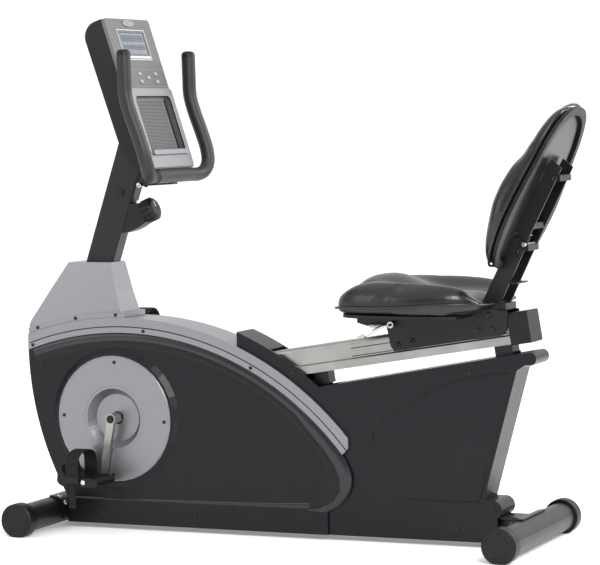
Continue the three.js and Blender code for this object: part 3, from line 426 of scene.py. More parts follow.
# %% Tubes, turned pieces and plates
def tube_mesh(points, radius, sides=10, closed=False):
    """A round tube. Each ring is a circle square to the path, and its frame is the one before it,
    turned as little as the path allows."""
    path = np.array(points, float)
    ahead = np.roll(path, -1, 0) - np.roll(path, 1, 0)
    if not closed:
        ahead[0], ahead[-1] = path[1] - path[0], path[-1] - path[-2]
    ahead /= np.linalg.norm(ahead, axis=1)[:, None]
    side = np.cross(ahead[0], [0, 0, 1.0])
    if np.linalg.norm(side) < 0.1:
        side = np.cross(ahead[0], [0, 1.0, 0])
    across = np.empty_like(path)
    for ring, direction in enumerate(ahead):
        side = side - direction * side.dot(direction)
        side /= np.linalg.norm(side)
        across[ring] = side
    lift = np.cross(ahead, across)
    turn = 2 * np.pi * np.arange(sides)[:, None] / sides
    rings = path[:, None] + radius * (np.cos(turn) * across[:, None] + np.sin(turn) * lift[:, None])
    faces = grid_faces(len(path), sides, close=closed)
    return rings.reshape(-1, 3), faces if closed else faces + end_caps(len(path), sides)


def turned_mesh(profile, matrix, sides=24):
    """A turned piece: profile points (radius, height) spun round the matrix's own Z axis."""
    radius, height = np.array(profile, float).T[:, :, None]
    turn = 2 * np.pi * np.arange(sides) / sides
    rings = np.stack([radius * np.cos(turn), radius * np.sin(turn), height + 0 * turn], -1)
    faces = grid_faces(len(profile), sides) + end_caps(len(profile), sides)
    return placed(matrix, rings.reshape(-1, 3)), faces


def raised(outline, height):
    """An outline in X and Y, at one height along Z."""
    return np.column_stack([np.array(outline, float), np.full(len(outline), height)])


def plate_mesh(outline, matrix, low, high):
    """A flat plate: an outline in the matrix's own X and Y, between two heights along its Z."""
    verts = np.concatenate([raised(outline, low), raised(outline, high)])
    return placed(matrix, verts), grid_faces(2, len(outline)) + end_caps(2, len(outline))


# %% Outlines and lines
def rounded_outline(half_x, half_y, radius, centre=(0, 0), steps=5):
    """A rounded rectangle: a quarter circle of a few steps at each corner."""
    turn = np.radians([start + 90 * k / steps for start in (0, 90, 180, 270) for k in range(steps + 1)])
    corner = np.repeat([(1, 1), (-1, 1), (-1, -1), (1, -1)], steps + 1, axis=0)
    middle = np.array(centre) + corner * np.array([half_x - radius, half_y - radius])
    return middle + radius * np.column_stack([np.cos(turn), np.sin(turn)])


def oval(half_x, half_y, centre=(0, 0), count=96):
    """Points round an ellipse: its half widths times the cosine and sine of an even turn."""
    turn = np.linspace(0, 2 * np.pi, count, endpoint=False)
    return np.array(centre) + np.column_stack([half_x * np.cos(turn), half_y * np.sin(turn)])


def evenly(line, count, endpoint=True):
    """count points evenly along a broken line: each is read off at its distance from the start."""
    line = np.array(line, float)
    along = np.concatenate([[0], np.cumsum(np.linalg.norm(np.diff(line, axis=0), axis=1))])
    at = np.linspace(0, along[-1], count, endpoint=endpoint)
    return np.column_stack([np.interp(at, along, column) for column in line.T])


def smooth_loop(points, count):
    """count points evenly along a closed Catmull-Rom curve, a cubic that passes through each given
    point in the direction of the line between that point's neighbours."""
    knots = np.array(points, float)
    a, b, c, d = (np.roll(knots, -k, 0)[:, None] for k in (-1, 0, 1, 2))
    t = np.linspace(0, 1, 24, endpoint=False)[:, None]
    dense = 0.5 * (2 * b + (c - a) * t + (2 * a - 5 * b + 4 * c - d) * t * t
                   + (3 * b - a - 3 * c + d) * t ** 3)
    dense = dense.reshape(-1, knots.shape[1])
    return evenly(np.vstack([dense, dense[:1]]), count, endpoint=False)


# %% Local frames
def leaning(x, z, degrees):
    """A frame at (x, 0, z) whose Z axis leans towards +X."""
    return Matrix.Translation((x, 0, z)) @ Matrix.Rotation(math.radians(degrees), 4, "Y")


def facing(axis):
    """A rotation whose Z axis points along axis."""
    return Vector(axis).to_track_quat("Z", "Y").to_matrix().to_4x4()


def looking(at, axis):
    """A frame at a point, whose Z axis points along axis."""
    return Matrix.Translation(at) @ facing(axis)


MAST = leaning(-0.6984, 0.480, 18.78)
RAIL = leaning(0.209, 0.4826, -8.85)
CONSOLE = leaning(-0.373, 1.029, -17.64)
BACK = leaning(0.686, 0.893, 25.9)

# a plate drawn in the console's width and height faces along the console's own +X
CONSOLE_FACE = CONSOLE @ Matrix(((0, 0, 1, 0), (1, 0, 0, 0), (0, 1, 0, 0), (0, 0, 0, 1)))
# the backrest's plan is its width and height, and heights over it point to its front
BACK_PLAN = BACK @ Matrix(((0, 0, -1, 0), (1, 0, 0, 0), (0, 1, 0, 0), (0, 0, 0, 1)))

# %% [markdown]
# ## The cushions
#
# A seat cushion is foam under vinyl, which is pulled tight over it and sewn at the rim. It could be
# sculpted, but cloth that swells under a little pressure rounds the form as a real cover does. Each
# cushion starts as a closed form built from its outline and a height, and then swells. Thigh
# troughs, a bowl and bolsters shape the seat, and a lumbar swell shapes the back.

# %% Cushion helpers
def step(value, low, high):
    """0 below low, 1 above high, and a smooth S between."""
    t = np.clip((value - low) / (high - low), 0, 1)
    return t * t * (3 - 2 * t)


def bump(value, width):
    """A bell: 1 at 0, and e^-1 at the width."""
    return np.exp(-(value / width) ** 2)


def cushion_mesh(loop, centre, front, back, middle, matrix):
    """A pillow between two surfaces over an outline.

    A ring at fraction s of the way from the centre to the outline has its front point at
    middle + (front - middle) * (1 - s^n)^(1/n), so the form is full inside and round at its
    edge. n is smaller in front, for a softer edge. Each surface gives a height over the plan.
    """
    rings, start, softness = 22, 0.35, {front: 3.2, back: 6.0}
    share = np.append(np.sin(0.5 * np.pi * (np.arange(rings) + start) / (rings + start)), 1.0)
    plan = np.array(centre, float) + (loop - centre) * share[:, None, None]
    a, b = plan[..., 0], plan[..., 1]
    verts, faces = [], []
    for surface, order in ((front, -1), (back, 1)):
        n = softness[surface]
        swell = np.maximum(0, 1 - share ** n) ** (1 / n)
        height = middle(a, b) + (surface(a, b) - middle(a, b)) * swell[:, None]
        offset = len(verts) * a.size
        verts.append(np.stack([a, b, np.broadcast_to(height, a.shape)], -1).reshape(-1, 3))
        faces += grid_faces(rings + 1, len(loop), offset=offset)
        faces.append(list(range(offset, offset + len(loop)))[::order])
    return placed(matrix, np.concatenate(verts)), faces


def apply_all(piece):
    """Bakes the modifiers into the mesh."""
    graph = bpy.context.evaluated_depsgraph_get()
    mesh = bpy.data.meshes.new_from_object(piece.evaluated_get(graph))
    piece.modifiers.clear()
    piece.data = mesh


def points_of(piece):
    """The mesh's points, one row each."""
    values = np.zeros(len(piece.data.vertices) * 3)
    piece.data.vertices.foreach_get("co", values)
    return values.reshape(-1, 3)


def swell_as_cloth(piece, cap):
    """Remeshes the piece, lets it swell as cloth, and moves no point by more than cap."""
    bpy.context.view_layer.objects.active = piece
    remesh = piece.modifiers.new("remesh", "REMESH")
    remesh.mode = "VOXEL"
    remesh.voxel_size = 0.006
    settle = piece.modifiers.new("settle", "SMOOTH")
    settle.iterations = 3
    apply_all(piece)
    before = points_of(piece)
    cloth = piece.modifiers.new("cloth", "CLOTH").settings
    cloth.use_pressure = True
    cloth.uniform_pressure_force = 4.0
    cloth.effector_weights.gravity = 0
    cloth.tension_stiffness = 25
    cloth.bending_stiffness = 2
    scene = bpy.context.scene
    for number in range(1, 21):
        scene.frame_set(number)
    apply_all(piece)
    scene.frame_set(1)
    move = points_of(piece) - before
    length = np.linalg.norm(move, axis=1, keepdims=True)
    move *= np.minimum(1, cap / np.maximum(length, 1e-9))
    piece.data.vertices.foreach_set("co", (before + move).ravel())
    piece.data.update()
    print(f"{piece.name} swelled by up to {1000 * min(cap, length.max()):.1f} mm")
    piece.data.polygons.foreach_set("use_smooth", np.ones(len(piece.data.polygons), bool))
    smooth = piece.modifiers.new("smooth", "SMOOTH")
    smooth.iterations = 4
    finer = piece.modifiers.new("finer", "SUBSURF")
    finer.levels = finer.render_levels = 1


def mirrored(half):
    """A half outline and its mirror image, as one loop."""
    return half + [(x, -y) for x, y in half[::-1]]


# %% Seat cushion
SEAT_CENTRE = (0.395, 0)
SEAT_HALF = [(0.180, 0.105), (0.200, 0.158), (0.262, 0.190), (0.350, 0.204), (0.450, 0.207),
             (0.536, 0.190), (0.588, 0.150), (0.604, 0.090)]
SEAT_LOOP = smooth_loop(mirrored(SEAT_HALF), 120)


def seat_top(x, y):
    """A high front lip with two thigh troughs, a bowl behind, and side bolsters."""
    side = np.abs(y)
    front = 0.735 - 0.020 * bump(side - 0.095, 0.048) - 0.010 * step(side, 0.15, 0.2)
    bowl = 0.682 + 0.046 * step(side, 0.085, 0.175) + 0.006 * bump(side, 0.04)
    height = front + (bowl - front) * step(x, 0.29, 0.45)
    return height - 0.030 * step(x, 0.545, 0.61) - 0.012 * (1 - step(x, 0.18, 0.25))


def seat_edge(x, y):
    """The height of the seam round the cushion."""
    return 0.652 + 0.012 * step(x, 0.3, 0.55) + 0.006 * step(np.abs(y), 0.1, 0.2)


def seat_bottom(x, y):
    """Nearly flat, and a little higher at the rear."""
    return 0.6325 + 0.010 * step(x, 0.50, 0.58)


verts, faces = cushion_mesh(SEAT_LOOP, SEAT_CENTRE, seat_top, seat_bottom, seat_edge, Matrix.Identity(4))
seat_cushion = mesh_piece("seat_cushion", verts, faces, "vinyl", "seat")
swell_as_cloth(seat_cushion, 0.006)
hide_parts("seat_pad")

# a cord of vinyl sewn round the seam
seam_x, seam_y = SEAT_LOOP.T
seam = np.column_stack([seam_x + (seam_x - SEAT_CENTRE[0]) * 0.008, seam_y * 1.008,
                        seat_edge(seam_x, seam_y) - 0.003])
verts, faces = tube_mesh(seam, 0.0036, 8, closed=True)
mesh_piece("seat_piping", verts, faces, "vinyl", "seat")

# the board under the cushion, a little smaller than it
board = SEAT_CENTRE + (SEAT_LOOP[seam_x < 0.56] - SEAT_CENTRE) * 0.93
verts, faces = plate_mesh(board, Matrix.Identity(4), 0.6252, 0.634)
mesh_piece("seat_board", verts, faces, "black_plastic", "seat", smooth=False)

# %% Back cushion
BACK_CENTRE = np.array([0, 0.075])
BACK_HALF = [(-0.148, 0.080), (-0.132, 0.126), (-0.084, 0.164), (0.000, 0.186), (0.078, 0.176),
             (0.157, 0.153), (0.222, 0.138), (0.286, 0.100), (0.314, 0.046)]
BACK_LOOP = smooth_loop([(width, height) for height, width in mirrored(BACK_HALF)], 120)
BACK_HEIGHTS = (-0.15, -0.089, -0.033, 0.017, 0.072, 0.122, 0.160, 0.210, 0.32)
BACK_DEPTHS = (0.030, 0.041, 0.051, 0.060, 0.063, 0.059, 0.047, 0.040, 0.036)


def back_front(y, s):
    """How far the front stands before the rear plane: a lumbar swell and slight side wings."""
    depth = np.interp(s, BACK_HEIGHTS, BACK_DEPTHS)
    return depth - 0.007 * bump(y, 0.045) * step(s, -0.1, 0.05) + 0.004 * step(np.abs(y), 0.08, 0.15)


verts, faces = cushion_mesh(BACK_LOOP, BACK_CENTRE, back_front, lambda y, s: 0.001,
                            lambda y, s: 0.014, BACK_PLAN)
back_cushion = mesh_piece("back_cushion", verts, faces, "vinyl", "seat")
swell_as_cloth(back_cushion, 0.005)
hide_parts("back_pad")

seam = raised(BACK_CENTRE + (BACK_LOOP - BACK_CENTRE) * 1.008, 0.010)
verts, faces = tube_mesh(placed(BACK_PLAN, seam), 0.0034, 8, closed=True)
mesh_piece("back_piping", verts, faces, "vinyl", "seat")

# %% [markdown]
# ## Screws and bolts
#
# Small pan-head screws hold the casings together and round-headed bolts hold the steel. They could
# be one mesh copied as instances, but a group of them rides on one body, so each group is one piece
# of turned heads with a socket.

# %% Heads
SIDES = (-1, 1)
CRANK_AT = (-0.540, 0.3205)
CASING_CENTRE = (-0.519, -0.307)
# half widths: front panel, silver arch, rear shell, neck flange and face of the crank disc
FRONT, ARCH_SIDE, REAR, FLANGE, DISC = 0.061, 0.063, 0.054, 0.0635, 0.076


def screw_mesh(at, axis, radius, height):
    """A pan head with a socket."""
    head = [(radius, 0), (radius, height * 0.45), (radius * 0.86, height * 0.9), (radius * 0.55, height),
            (radius * 0.5, height * 0.45)]
    return turned_mesh(head, looking(at, axis), 18)


def arch_height(radius, x):
    """The height at x of an arc about the casing's centre."""
    return CASING_CENTRE[1] + np.sqrt(radius ** 2 - (x - CASING_CENTRE[0]) ** 2)


# %% Screws of the casings
SCREWS = [(x, arch_height(0.9225, x), FLANGE) for x in (-0.788, -0.663, -0.533)]
SCREWS += [(x, arch_height(0.880, x), ARCH_SIDE) for x in (-0.806, -0.446, -0.112)]
SCREWS += [(-0.775, 0.468, FRONT), (-0.590, 0.046, FRONT), (-0.294, 0.044, FRONT),
           (-0.178, 0.072, FRONT), (0.018, 0.044, FRONT), (0.122, 0.207, FRONT),
           (0.185, 0.046, REAR), (0.490, 0.050, REAR), (0.533, 0.472, REAR),
           (0.014, 0.462, REAR), (0.592, 0.105, REAR)]
for quarter in range(4):
    turn = math.radians(90 * quarter - 2)
    SCREWS.append((CRANK_AT[0] + 0.161 * math.cos(turn), CRANK_AT[1] + 0.161 * math.sin(turn), DISC))

parts = [screw_mesh((x, side * y, z), (0, side, 0), 0.0052, 0.0022) for x, z, y in SCREWS for side in SIDES]
verts, faces = merged(parts)
mesh_piece("casing_screws", verts, faces, "black_steel", "frame")

# %% Bolts of the floor tubes, the mast and the seat
TUBE_HEIGHT, FRONT_TUBE_X, REAR_TUBE_X, BOLT_REACH = 0.046, -0.7535, 0.686, 0.0448


def tube_bolt(x, y, degrees, radius):
    """A bolt that stands out of a floor tube at an angle from the rear."""
    out = Vector((math.cos(math.radians(degrees)), 0, math.sin(math.radians(degrees))))
    return screw_mesh(Vector((x, y, TUBE_HEIGHT)) + BOLT_REACH * out, out, radius, 0.006)


parts = [tube_bolt(FRONT_TUBE_X, y, angle, 0.0075) for y in (-0.062, 0.062) for angle in (62, 30)]
parts += [tube_bolt(REAR_TUBE_X, y, 150, 0.0085) for y in (-0.062, 0.062)]
parts += [screw_mesh((-0.469, side * 0.0208, 0.983), (0, side, 0), 0.008, 0.005) for side in SIDES]
verts, faces = merged(parts)
mesh_piece("frame_bolts", verts, faces, "chrome", "frame")

SEAT_BOLTS = [(0.367, 0.556, 0.0498), (0.326, 0.545, 0.0498), (0.561, 0.587, 0.0498), (0.599, 0.592, 0.0498),
              (0.590, 0.628, 0.0498), (0.676, 0.800, 0.0449), (0.777, 0.992, 0.0498)]
parts = [screw_mesh((x, side * y, z), (0, side, 0), 0.0078, 0.005)
         for x, z, y in SEAT_BOLTS for side in SIDES]
verts, faces = merged(parts)
mesh_piece("seat_bolts", verts, faces, "black_steel", "seat")

# %% [markdown]
# ## Relief of the casings
#
# The front panel has a raised band that follows the silver arch, turns down round the tail and runs
# on along the bottom. Its lighter colour is a painted highlight, and the black step under it is painted
# shade. The rear shell has a moulded line round a flat field. A texture could darken these lines, but
# a raised surface catches the light as the moulding does; the lines are black too, which paints the
# shade of their grooves.

# %% The band on the front panel
def band_mesh(outer, inner, side, base, rise):
    """A raised band between two lines on a side wall: its height is a power of a half sine across
    it, and its two edges sink just under the wall."""
    share = np.linspace(0, 1, 7)
    flat = outer[:, None] + (inner - outer)[:, None] * share[:, None]
    height = base + rise * np.sin(np.pi * share) ** 0.6
    height[[0, -1]] -= 0.0006
    out = np.broadcast_to(side * height, flat.shape[:2])
    verts = np.stack([flat[..., 0], out, flat[..., 1]], -1).reshape(-1, 3)
    return verts, grid_faces(len(outer), len(share), wrap=False)


def tail_line(radius, x_from, x_to, tail, count=110):
    """An arc about the casing's centre that runs on through the points of a tail."""
    x = np.linspace(x_from, x_to, 60)
    return evenly(np.vstack([np.column_stack([x, arch_height(radius, x)]), tail]), count)


OUTER = tail_line(0.8705, -0.806, 0.158,
                  [(0.175, 0.214), (0.184, 0.190), (0.1865, 0.165), (0.176, 0.135),
                   (0.150, 0.099), (0.120, 0.083), (0.110, 0.081), (0.108, 0.078)])
INNER = tail_line(0.8470, -0.800, 0.020,
                  [(0.060, 0.300), (0.105, 0.250), (0.136, 0.205), (0.150, 0.170),
                   (0.146, 0.137), (0.122, 0.104), (0.085, 0.088), (0.034, 0.082)])
# a shallow black step inside the band, from its leaf edge to its crease: painted shade on the bevel under the
# band
LEAF = tail_line(0.8465, -0.800, 0.020,
                 [(0.060, 0.2995), (0.1045, 0.2495), (0.1355, 0.2045), (0.1495, 0.170),
                  (0.1455, 0.137), (0.1215, 0.1045), (0.084, 0.089), (0.034, 0.083)])
CREASE = tail_line(0.8285, -0.793, -0.020,
                   [(0.030, 0.306), (0.072, 0.262), (0.100, 0.219), (0.112, 0.180),
                    (0.106, 0.147), (0.086, 0.119), (0.058, 0.104), (0.026, 0.0995)])
LOWER = evenly([(-0.704, 0.083), (-0.540, 0.0835), (-0.25, 0.084), (-0.05, 0.085), (0.060, 0.085)], 60)
UPPER = evenly([(-0.704, 0.090), (-0.540, 0.091), (-0.25, 0.094), (-0.05, 0.098), (0.060, 0.103)], 60)

# the bands' lighter colour is a painted highlight on their raised ridges
bands = [band_mesh(a, b, side, FRONT, rise) for side in SIDES
         for a, b, rise in ((OUTER, INNER, 0.0035), (LOWER, UPPER, 0.002))]
verts, faces = merged(bands)
mesh_piece("panel_bands_painted_highlight", verts, faces, "charcoal_plastic", "frame", BAND_PAINTED_HIGHLIGHT)
# the black step is painted shade where the bevel turns away from the light
verts, faces = merged([band_mesh(LEAF, CREASE, side, FRONT, 0.0009) for side in SIDES])
mesh_piece("panel_step_painted_shade", verts, faces, "black_plastic", "frame")

# %% Lines on the rear shells and the silver arch
FIELD = smooth_loop([
    (0.650, 0.462), (0.643, 0.474), (0.542, 0.461), (0.432, 0.425), (0.320, 0.360), (0.263, 0.322),
    (0.248, 0.290), (0.256, 0.259), (0.300, 0.187), (0.337, 0.134), (0.360, 0.124), (0.450, 0.123),
    (0.540, 0.125), (0.556, 0.136), (0.580, 0.220), (0.615, 0.341), (0.636, 0.412)], 160)


def on_side(line, y):
    """A line in X and Z, put on a side wall at y."""
    return np.column_stack([line[:, 0], np.full(len(line), y), line[:, 1]])


# black tubes round the field: painted shade of the moulded line's groove
parts = [tube_mesh(on_side(FIELD, side * (REAR + 0.0002)), 0.0024, 6, closed=True) for side in SIDES]
verts, faces = merged(parts)
mesh_piece("shell_lines_painted_shade", verts, faces, "black_plastic", "frame")

# the groove along the middle of the silver arch, as a black tube: painted shade
groove_x = np.linspace(-0.815, 0.172, 60)
ARCH_GROOVE = np.column_stack([groove_x, arch_height(0.889, groove_x)])
verts, faces = merged([tube_mesh(on_side(ARCH_GROOVE, side * (ARCH_SIDE - 0.0006)), 0.0017, 6) for side in SIDES])
mesh_piece("arch_groove_painted_shade", verts, faces, "black_plastic", "frame")

# %% [markdown]
# ## Rings, caps and rims
#
# The silver crank disc has a raised ring at its dish and one at its rim, the crank's bolt has a
# black cap, and each round end cap of the floor tubes has a rim. All of them are turned shapes.

# %% Rings of the crank discs and rims of the end caps
parts = []
for side in SIDES:
    disc = looking((CRANK_AT[0], side * (DISC - 0.0008), CRANK_AT[1]), (0, side, 0))
    parts += [tube_mesh(placed(disc, raised(oval(radius, radius), 0.0006)), 0.0013, 6, closed=True)
              for radius in (0.094, 0.176)]
verts, faces = merged(parts)
mesh_piece("disc_rings", verts, faces, "silver_paint", "frame")

CAP = [(0.0115, 0), (0.0115, 0.0018), (0.010, 0.003), (0.004, 0.0036)]
verts, faces = merged([turned_mesh(CAP, looking((CRANK_AT[0], side * 0.0968, CRANK_AT[1]), (0, side, 0)), 28)
                       for side in SIDES])
mesh_piece("crank_caps", verts, faces, "black_plastic", "crank")

RIM = [(0.037, -0.001), (0.037, 0.0012), (0.034, 0.0018), (0.031, 0.0012), (0.031, -0.001)]
verts, faces = merged([turned_mesh(RIM, looking((x, side * 0.2755, TUBE_HEIGHT), (0, side, 0)), 48)
                       for x in (FRONT_TUBE_X, REAR_TUBE_X) for side in SIDES])
mesh_piece("end_cap_rims", verts, faces, "black_plastic", "frame")

# %% [markdown]
# ## The console
#
# The rider sees a screen with grey segments behind a pale surround, five keys inside a thin border,
# and a sunk tray with a grille for a book or bottle. These could be painted on, but thin plates
# cast the small shadows that the real overlay does. A black strip down the tray's right side is
# painted shade of its wall. The badge is plain, with no lettering.

# %% Plates and frames on the console's face
def face_plate(name, outline, low, high, slot, finish=None):
    """A plate on the console's face: its outline is in width and height from the bottom edge."""
    verts, faces = plate_mesh(outline, CONSOLE_FACE, low, high)
    piece = mesh_piece(name, verts, faces, slot, "frame", finish, smooth=False)
    soften(piece, 0.5)


def ring_plate(name, outer, inner, low, high, slot, finish=None):
    """A flat frame between two outlines of equally many points."""
    loops = ((inner, low), (outer, low), (outer, high), (inner, high))
    verts = placed(CONSOLE_FACE, np.concatenate([raised(loop, height) for loop, height in loops]))
    faces = grid_faces(4, len(outer), close=True)
    piece = mesh_piece(name, verts, faces, slot, "frame", finish, smooth=False)
    soften(piece, 0.6)


ring_plate("screen_surround", rounded_outline(0.083, 0.0455, 0.004, (0, 0.3685)),
           rounded_outline(0.0805, 0.043, 0.003, (0, 0.3685)), 0.0002, 0.0014, "key_plastic", WHITE)
face_plate("screen_strip", rounded_outline(0.078, 0.0035, 0.001, (0, 0.3315)), 0.0002, 0.0012,
           "key_plastic", WHITE)
ring_plate("keypad_border", rounded_outline(0.118, 0.026, 0.006, (0.012, 0.2685)),
           rounded_outline(0.1168, 0.0248, 0.005, (0.012, 0.2685)), 0.0002, 0.0008, "key_plastic")
face_plate("badge_plate", oval(0.034, 0.0105, (0, 0.4325), 48), 0.0002, 0.0026, "silver_paint")
# the silver surround of the tray, wider at its foot
ring_plate("tray_surround", rounded_outline(0.1325, 0.117, 0.012, (0, 0.120)),
           rounded_outline(0.107, 0.085, 0.016, (0.004, 0.129)), 0.0042, 0.0062, "silver_paint")


# %% Segments of the screen
def bar_plate(y, z, width, height):
    """A thin bar just over the glass, about its centre."""
    corners = [(y - width / 2, z - height / 2), (y + width / 2, z - height / 2),
               (y + width / 2, z + height / 2), (y - width / 2, z + height / 2)]
    return plate_mesh(corners, CONSOLE_FACE, -0.0014, -0.0011)


# two rows of eight digits, each of seven bars
segments = []
for row, half, thick in ((0.388, 0.008, 0.0016), (0.362, 0.006, 0.0013)):
    for left in -0.062 + 0.0165 * np.arange(8):
        wide = 0.0085
        segments += [bar_plate(left + wide / 2, z, wide, thick) for z in (row + half, row, row - half)]
        segments += [bar_plate(y, z, thick, half) for z in (row + half / 2, row - half / 2)
                     for y in (left, left + wide)]
verts, faces = merged(segments)
mesh_piece("screen_segments", verts, faces, "black_plastic", "frame", smooth=False)

# %% The tray
bars = [plate_mesh(rounded_outline(0.088, 0.0012, 0.001, (-0.010, 0.052 + 0.0042 * k), 2), CONSOLE_FACE,
                   -0.0060, -0.0040) for k in range(37)]
verts, faces = merged(bars)
mesh_piece("tray_grille", verts, faces, "silver_paint", "frame", CONSOLE_GREY, smooth=False)
# a black strip at the tray's right side: painted shade of the tray's wall
face_plate("tray_wall_painted_shade", rounded_outline(0.006, 0.078, 0.004, (0.094, 0.128), 3), -0.0060, -0.0022,
           "black_plastic")
face_plate("tray_ledge", rounded_outline(0.106, 0.007, 0.004, (0.004, 0.046)), -0.004, 0.014,
           "silver_paint")

# %% [markdown]
# ## Handlebar
#
# Foam tube is pushed over the bent steel bar, so it follows every bend without a crease. The CAD
# sleeves have flat facets. A finer tube along the same curve replaces them.

# %% The foam sleeves
BAR_HALF = [(-0.414, 0.199, 1.349), (-0.413, 0.199, 1.290), (-0.411, 0.199, 1.236), (-0.399, 0.199, 1.190),
            (-0.377, 0.199, 1.130), (-0.360, 0.198, 1.078), (-0.354, 0.191, 1.042), (-0.357, 0.173, 1.018),
            (-0.364, 0.147, 1.009), (-0.3677, 0.109, 1.009), (-0.3677, 0.060, 1.009)]
BAR_ROUTE = BAR_HALF + [(-0.3677, 0, 1.009)] + [(x, -y, z) for x, y, z in BAR_HALF[::-1]]


def centripetal(points, count):
    """Even points along a centripetal Catmull-Rom curve, by Barry and Goldman's pyramid: three
    rounds of straight blends between neighbours. Each point's time is later than the last one's by
    the square root of their distance, so the bends stay tight."""
    knots = np.array(points, float)
    knots = np.vstack([2 * knots[0] - knots[1], knots, 2 * knots[-1] - knots[-2]])
    gaps = np.linalg.norm(np.diff(knots, axis=0), axis=1)[:, None, None] ** 0.5
    spans = len(knots) - 3
    p0, p1, p2, p3 = (knots[k:k + spans, None] for k in range(4))
    t0, t1 = 0 * gaps[:spans], gaps[:spans]
    t2 = t1 + gaps[1:spans + 1]
    t3 = t2 + gaps[2:spans + 2]
    t = t1 + (t2 - t1) * np.linspace(0, 1, 16, endpoint=False)[:, None]

    def blend(a, b, ta, tb):
        return ((tb - t) * a + (t - ta) * b) / (tb - ta)

    a1, a2, a3 = blend(p0, p1, t0, t1), blend(p1, p2, t1, t2), blend(p2, p3, t2, t3)
    dense = blend(blend(a1, a2, t0, t2), blend(a2, a3, t1, t3), t1, t2)
    return evenly(np.vstack([dense.reshape(-1, 3), knots[-2]]), count)


bar_line = centripetal(BAR_ROUTE, 401)
# the rider's left sleeve starts a little later, past a bare collar
for name, first, last in (("right_grip", 0, 244), ("left_grip", 258, 400)):
    verts, faces = tube_mesh(bar_line[first:last + 1], 0.0196, 28)
    sleeve = mesh_piece(f"{name}_sleeve", verts, faces, "foam", "frame")
    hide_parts(name)
verts, faces = merged([tube_mesh(bar_line[k:k + 6], 0.0176, 28) for k in (245, 252)])
mesh_piece("bar_collars", verts, faces, "black_plastic", "frame")

PLUG = [(0.0188, -0.010), (0.0196, -0.002), (0.0196, 0.004), (0.0185, 0.009), (0.0145, 0.0135),
        (0.0075, 0.0155)]
verts, faces = merged([turned_mesh(PLUG, looking((-0.414, side * 0.199, 1.3475), (0, 0, 1)), 32)
                       for side in SIDES])
mesh_piece("bar_end_plugs", verts, faces, "black_plastic", "frame")

# %% [markdown]
# ## Tension knob, mast port and rail
#
# A hand turns the knob, so its side is ribbed and its face has a pale pointer. The mast has a square
# plug in a spare hole, and the rail's extrusion has two grooves along each side, drawn as black lines
# of painted shade.

# %% Knob
KNOB_AT = Vector((-0.462, 0, 0.9045))
KNOB_AXIS = Vector((math.cos(math.radians(22.8)), 0, math.sin(math.radians(22.8))))
FACE = [(0.0255, -0.001), (0.0255, 0.0012), (0.0235, 0.002), (0.020, 0.0012), (0.006, 0.001)]
verts, faces = turned_mesh(FACE, looking(KNOB_AT + KNOB_AXIS * 0.036, KNOB_AXIS), 40)
mesh_piece("knob_face", verts, faces, "black_plastic", "knob")

across = np.array(KNOB_AXIS.cross(Vector((0, 1, 0))).normalized())
along = np.array(KNOB_AT) + np.linspace(0.003, 0.031, 5)[:, None] * np.array(KNOB_AXIS)
ribs = [tube_mesh(along + math.cos(angle) * 0.0325 * across + [0, math.sin(angle) * 0.0325, 0], 0.0017, 6)
        for angle in np.linspace(0, 2 * np.pi, 26, endpoint=False)]
verts, faces = merged(ribs)
mesh_piece("knob_ribs", verts, faces, "black_plastic", "knob")

verts, faces = plate_mesh(rounded_outline(0.0018, 0.0085, 0.0015, (0, 0.012), 3),
                          looking(KNOB_AT + KNOB_AXIS * 0.0372, KNOB_AXIS), 0, 0.0009)
mesh_piece("knob_pointer", verts, faces, "key_plastic", "knob", WHITE, smooth=False)

# %% Mast port and rail grooves
port = MAST @ looking((0.006, -0.0212, 0.512), (0, -1, 0))
verts, faces = plate_mesh(rounded_outline(0.009, 0.009, 0.002), port, 0, 0.0025)
mesh_piece("mast_port", verts, faces, "black_plastic", "frame", smooth=False)

# black tubes along the rail's sides: painted shade in its grooves
run = np.linspace(-0.02, 0.444, 12)[:, None] * [1, 0, 0]
parts = [tube_mesh(placed(RAIL, run + [0, side * 0.0361, height]), 0.0012, 6)
         for side in SIDES for height in (0.030, 0.052)]
verts, faces = merged(parts)
mesh_piece("rail_grooves_painted_shade", verts, faces, "black_plastic", "frame")

# %% [markdown]
# ## Spring, treads and buckles
#
# A small coil spring pulls the seat lever back. It could be a Screw modifier on a circle, but a tube
# along a helix is as short and stays one plain mesh. Each pedal has raised treads and a buckle on
# its strap, which ride on the pedal.

# %% Spring of the seat lever
TURNS, PER_TURN, COIL_RADIUS = 9, 12, 0.0052
turn = np.arange(TURNS * PER_TURN + 1) / PER_TURN
coil = np.column_stack([0.246 + 0.0042 * turn, -0.058 + COIL_RADIUS * np.cos(2 * np.pi * turn),
                        0.597 + COIL_RADIUS * np.sin(2 * np.pi * turn)])
verts, faces = tube_mesh(coil, 0.0009, 6)
mesh_piece("lever_spring", verts, faces, "chrome", "seat")

# %% Pedal treads and strap buckles
CRANK_LENGTH, CRANK_LEAN = 0.170, math.radians(11)
for side_name, side in (("left", -1), ("right", 1)):
    x = CRANK_AT[0] + side * CRANK_LENGTH * math.sin(CRANK_LEAN)
    z = CRANK_AT[1] + side * CRANK_LENGTH * math.cos(CRANK_LEAN)
    body = f"{side_name}_pedal_body"
    treads = []
    for at in x - 0.036 + 0.0125 * np.arange(6):
        corners = [(at - 0.002, 0.104), (at + 0.002, 0.104), (at + 0.002, 0.201), (at - 0.002, 0.201)]
        treads.append(plate_mesh([(px, side * py) for px, py in corners],
                                 Matrix.Translation((0, 0, z)), 0.0105, 0.0138))
    verts, faces = merged(treads)
    mesh_piece(f"{side_name}_pedal_treads", verts, faces, "black_plastic", body, smooth=False)
    buckle = looking((x - 0.034, side * 0.2085, z + 0.006), (0, side, 0))
    verts, faces = plate_mesh(rounded_outline(0.021, 0.010, 0.004), buckle, 0, 0.004)
    soften(mesh_piece(f"{side_name}_buckle", verts, faces, "black_plastic", body, smooth=False), 1.0)
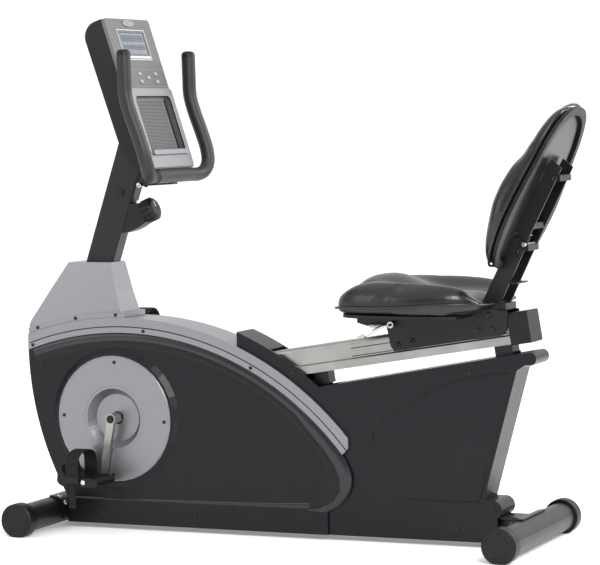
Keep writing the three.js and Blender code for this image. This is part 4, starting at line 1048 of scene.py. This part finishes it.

# %% [markdown]
# ## Floor and light
#
# A wide white floor meets a white backdrop. The floor glows a little, so no edge shows between
# them. Three broad lights shape the bike. The room is white behind it and above it, and
# dimmer on the near side, which gives the dark mouldings their depth.

# %% Floor
def floor_finish():
    """White acrylic sheet: nearly even, and it glows a little."""
    mat, shader = finish_of("studio_floor", "#fafafa", 0.6)
    mottle(mat, shader, "#f9f9f9", "#fbfbfb", 600)
    shader.inputs["Emission Color"].default_value = linear("#ffffff")
    shader.inputs["Emission Strength"].default_value = 0.22
    return mat


bpy.ops.mesh.primitive_plane_add(size=400, location=(0, 0, 0))
floor = bpy.context.active_object
floor.name = "studio_floor"
floor.data.materials.append(floor_finish())


# %% Lights
def soft_light(name, at, target, size, power):
    """A square area light that faces a point."""
    data = bpy.data.lights.new(name, "AREA")
    data.size = size
    data.energy = power
    light = bpy.data.objects.new(name, data)
    light.location = at
    light.rotation_euler = (Vector(target) - Vector(at)).to_track_quat("-Z", "Y").to_euler()
    bpy.context.scene.collection.objects.link(light)


soft_light("key", (3.2, -3.4, 3.4), (0, 0, 0.6), 2.4, 240)
soft_light("fill", (-3.6, -3.6, 2.4), (0, 0, 0.6), 3.0, 60)
soft_light("rear", (3.4, 2.6, 3.2), (0, 0, 0.7), 2.4, 160)

# %% Surround
world = bpy.data.worlds.new("surround")
world.use_nodes = True
surround = world.node_tree.nodes["Background"]
surround.inputs["Color"].default_value = linear("#fdfdfe")
towards = add(world, "ShaderNodeSeparateXYZ", Vector=add(world, "ShaderNodeTexCoord").outputs["Generated"])
backdrop = add(world, "ShaderNodeMapRange", Value=towards.outputs["Y"], From_Min=-0.2, From_Max=0.5)
ceiling = add(world, "ShaderNodeMapRange", Value=towards.outputs["Z"], From_Min=0.3, From_Max=0.8)
brighter = add(world, "ShaderNodeMath", Value=backdrop.outputs["Result"])
brighter.operation = "MAXIMUM"
world.node_tree.links.new(ceiling.outputs["Result"], brighter.inputs[1])
strength = add(world, "ShaderNodeMapRange", Value=brighter.outputs["Value"], To_Min=0.35, To_Max=1.1)
world.node_tree.links.new(strength.outputs["Result"], surround.inputs["Strength"])
bpy.context.scene.world = world
bpy.context.scene.view_settings.view_transform = "Standard"
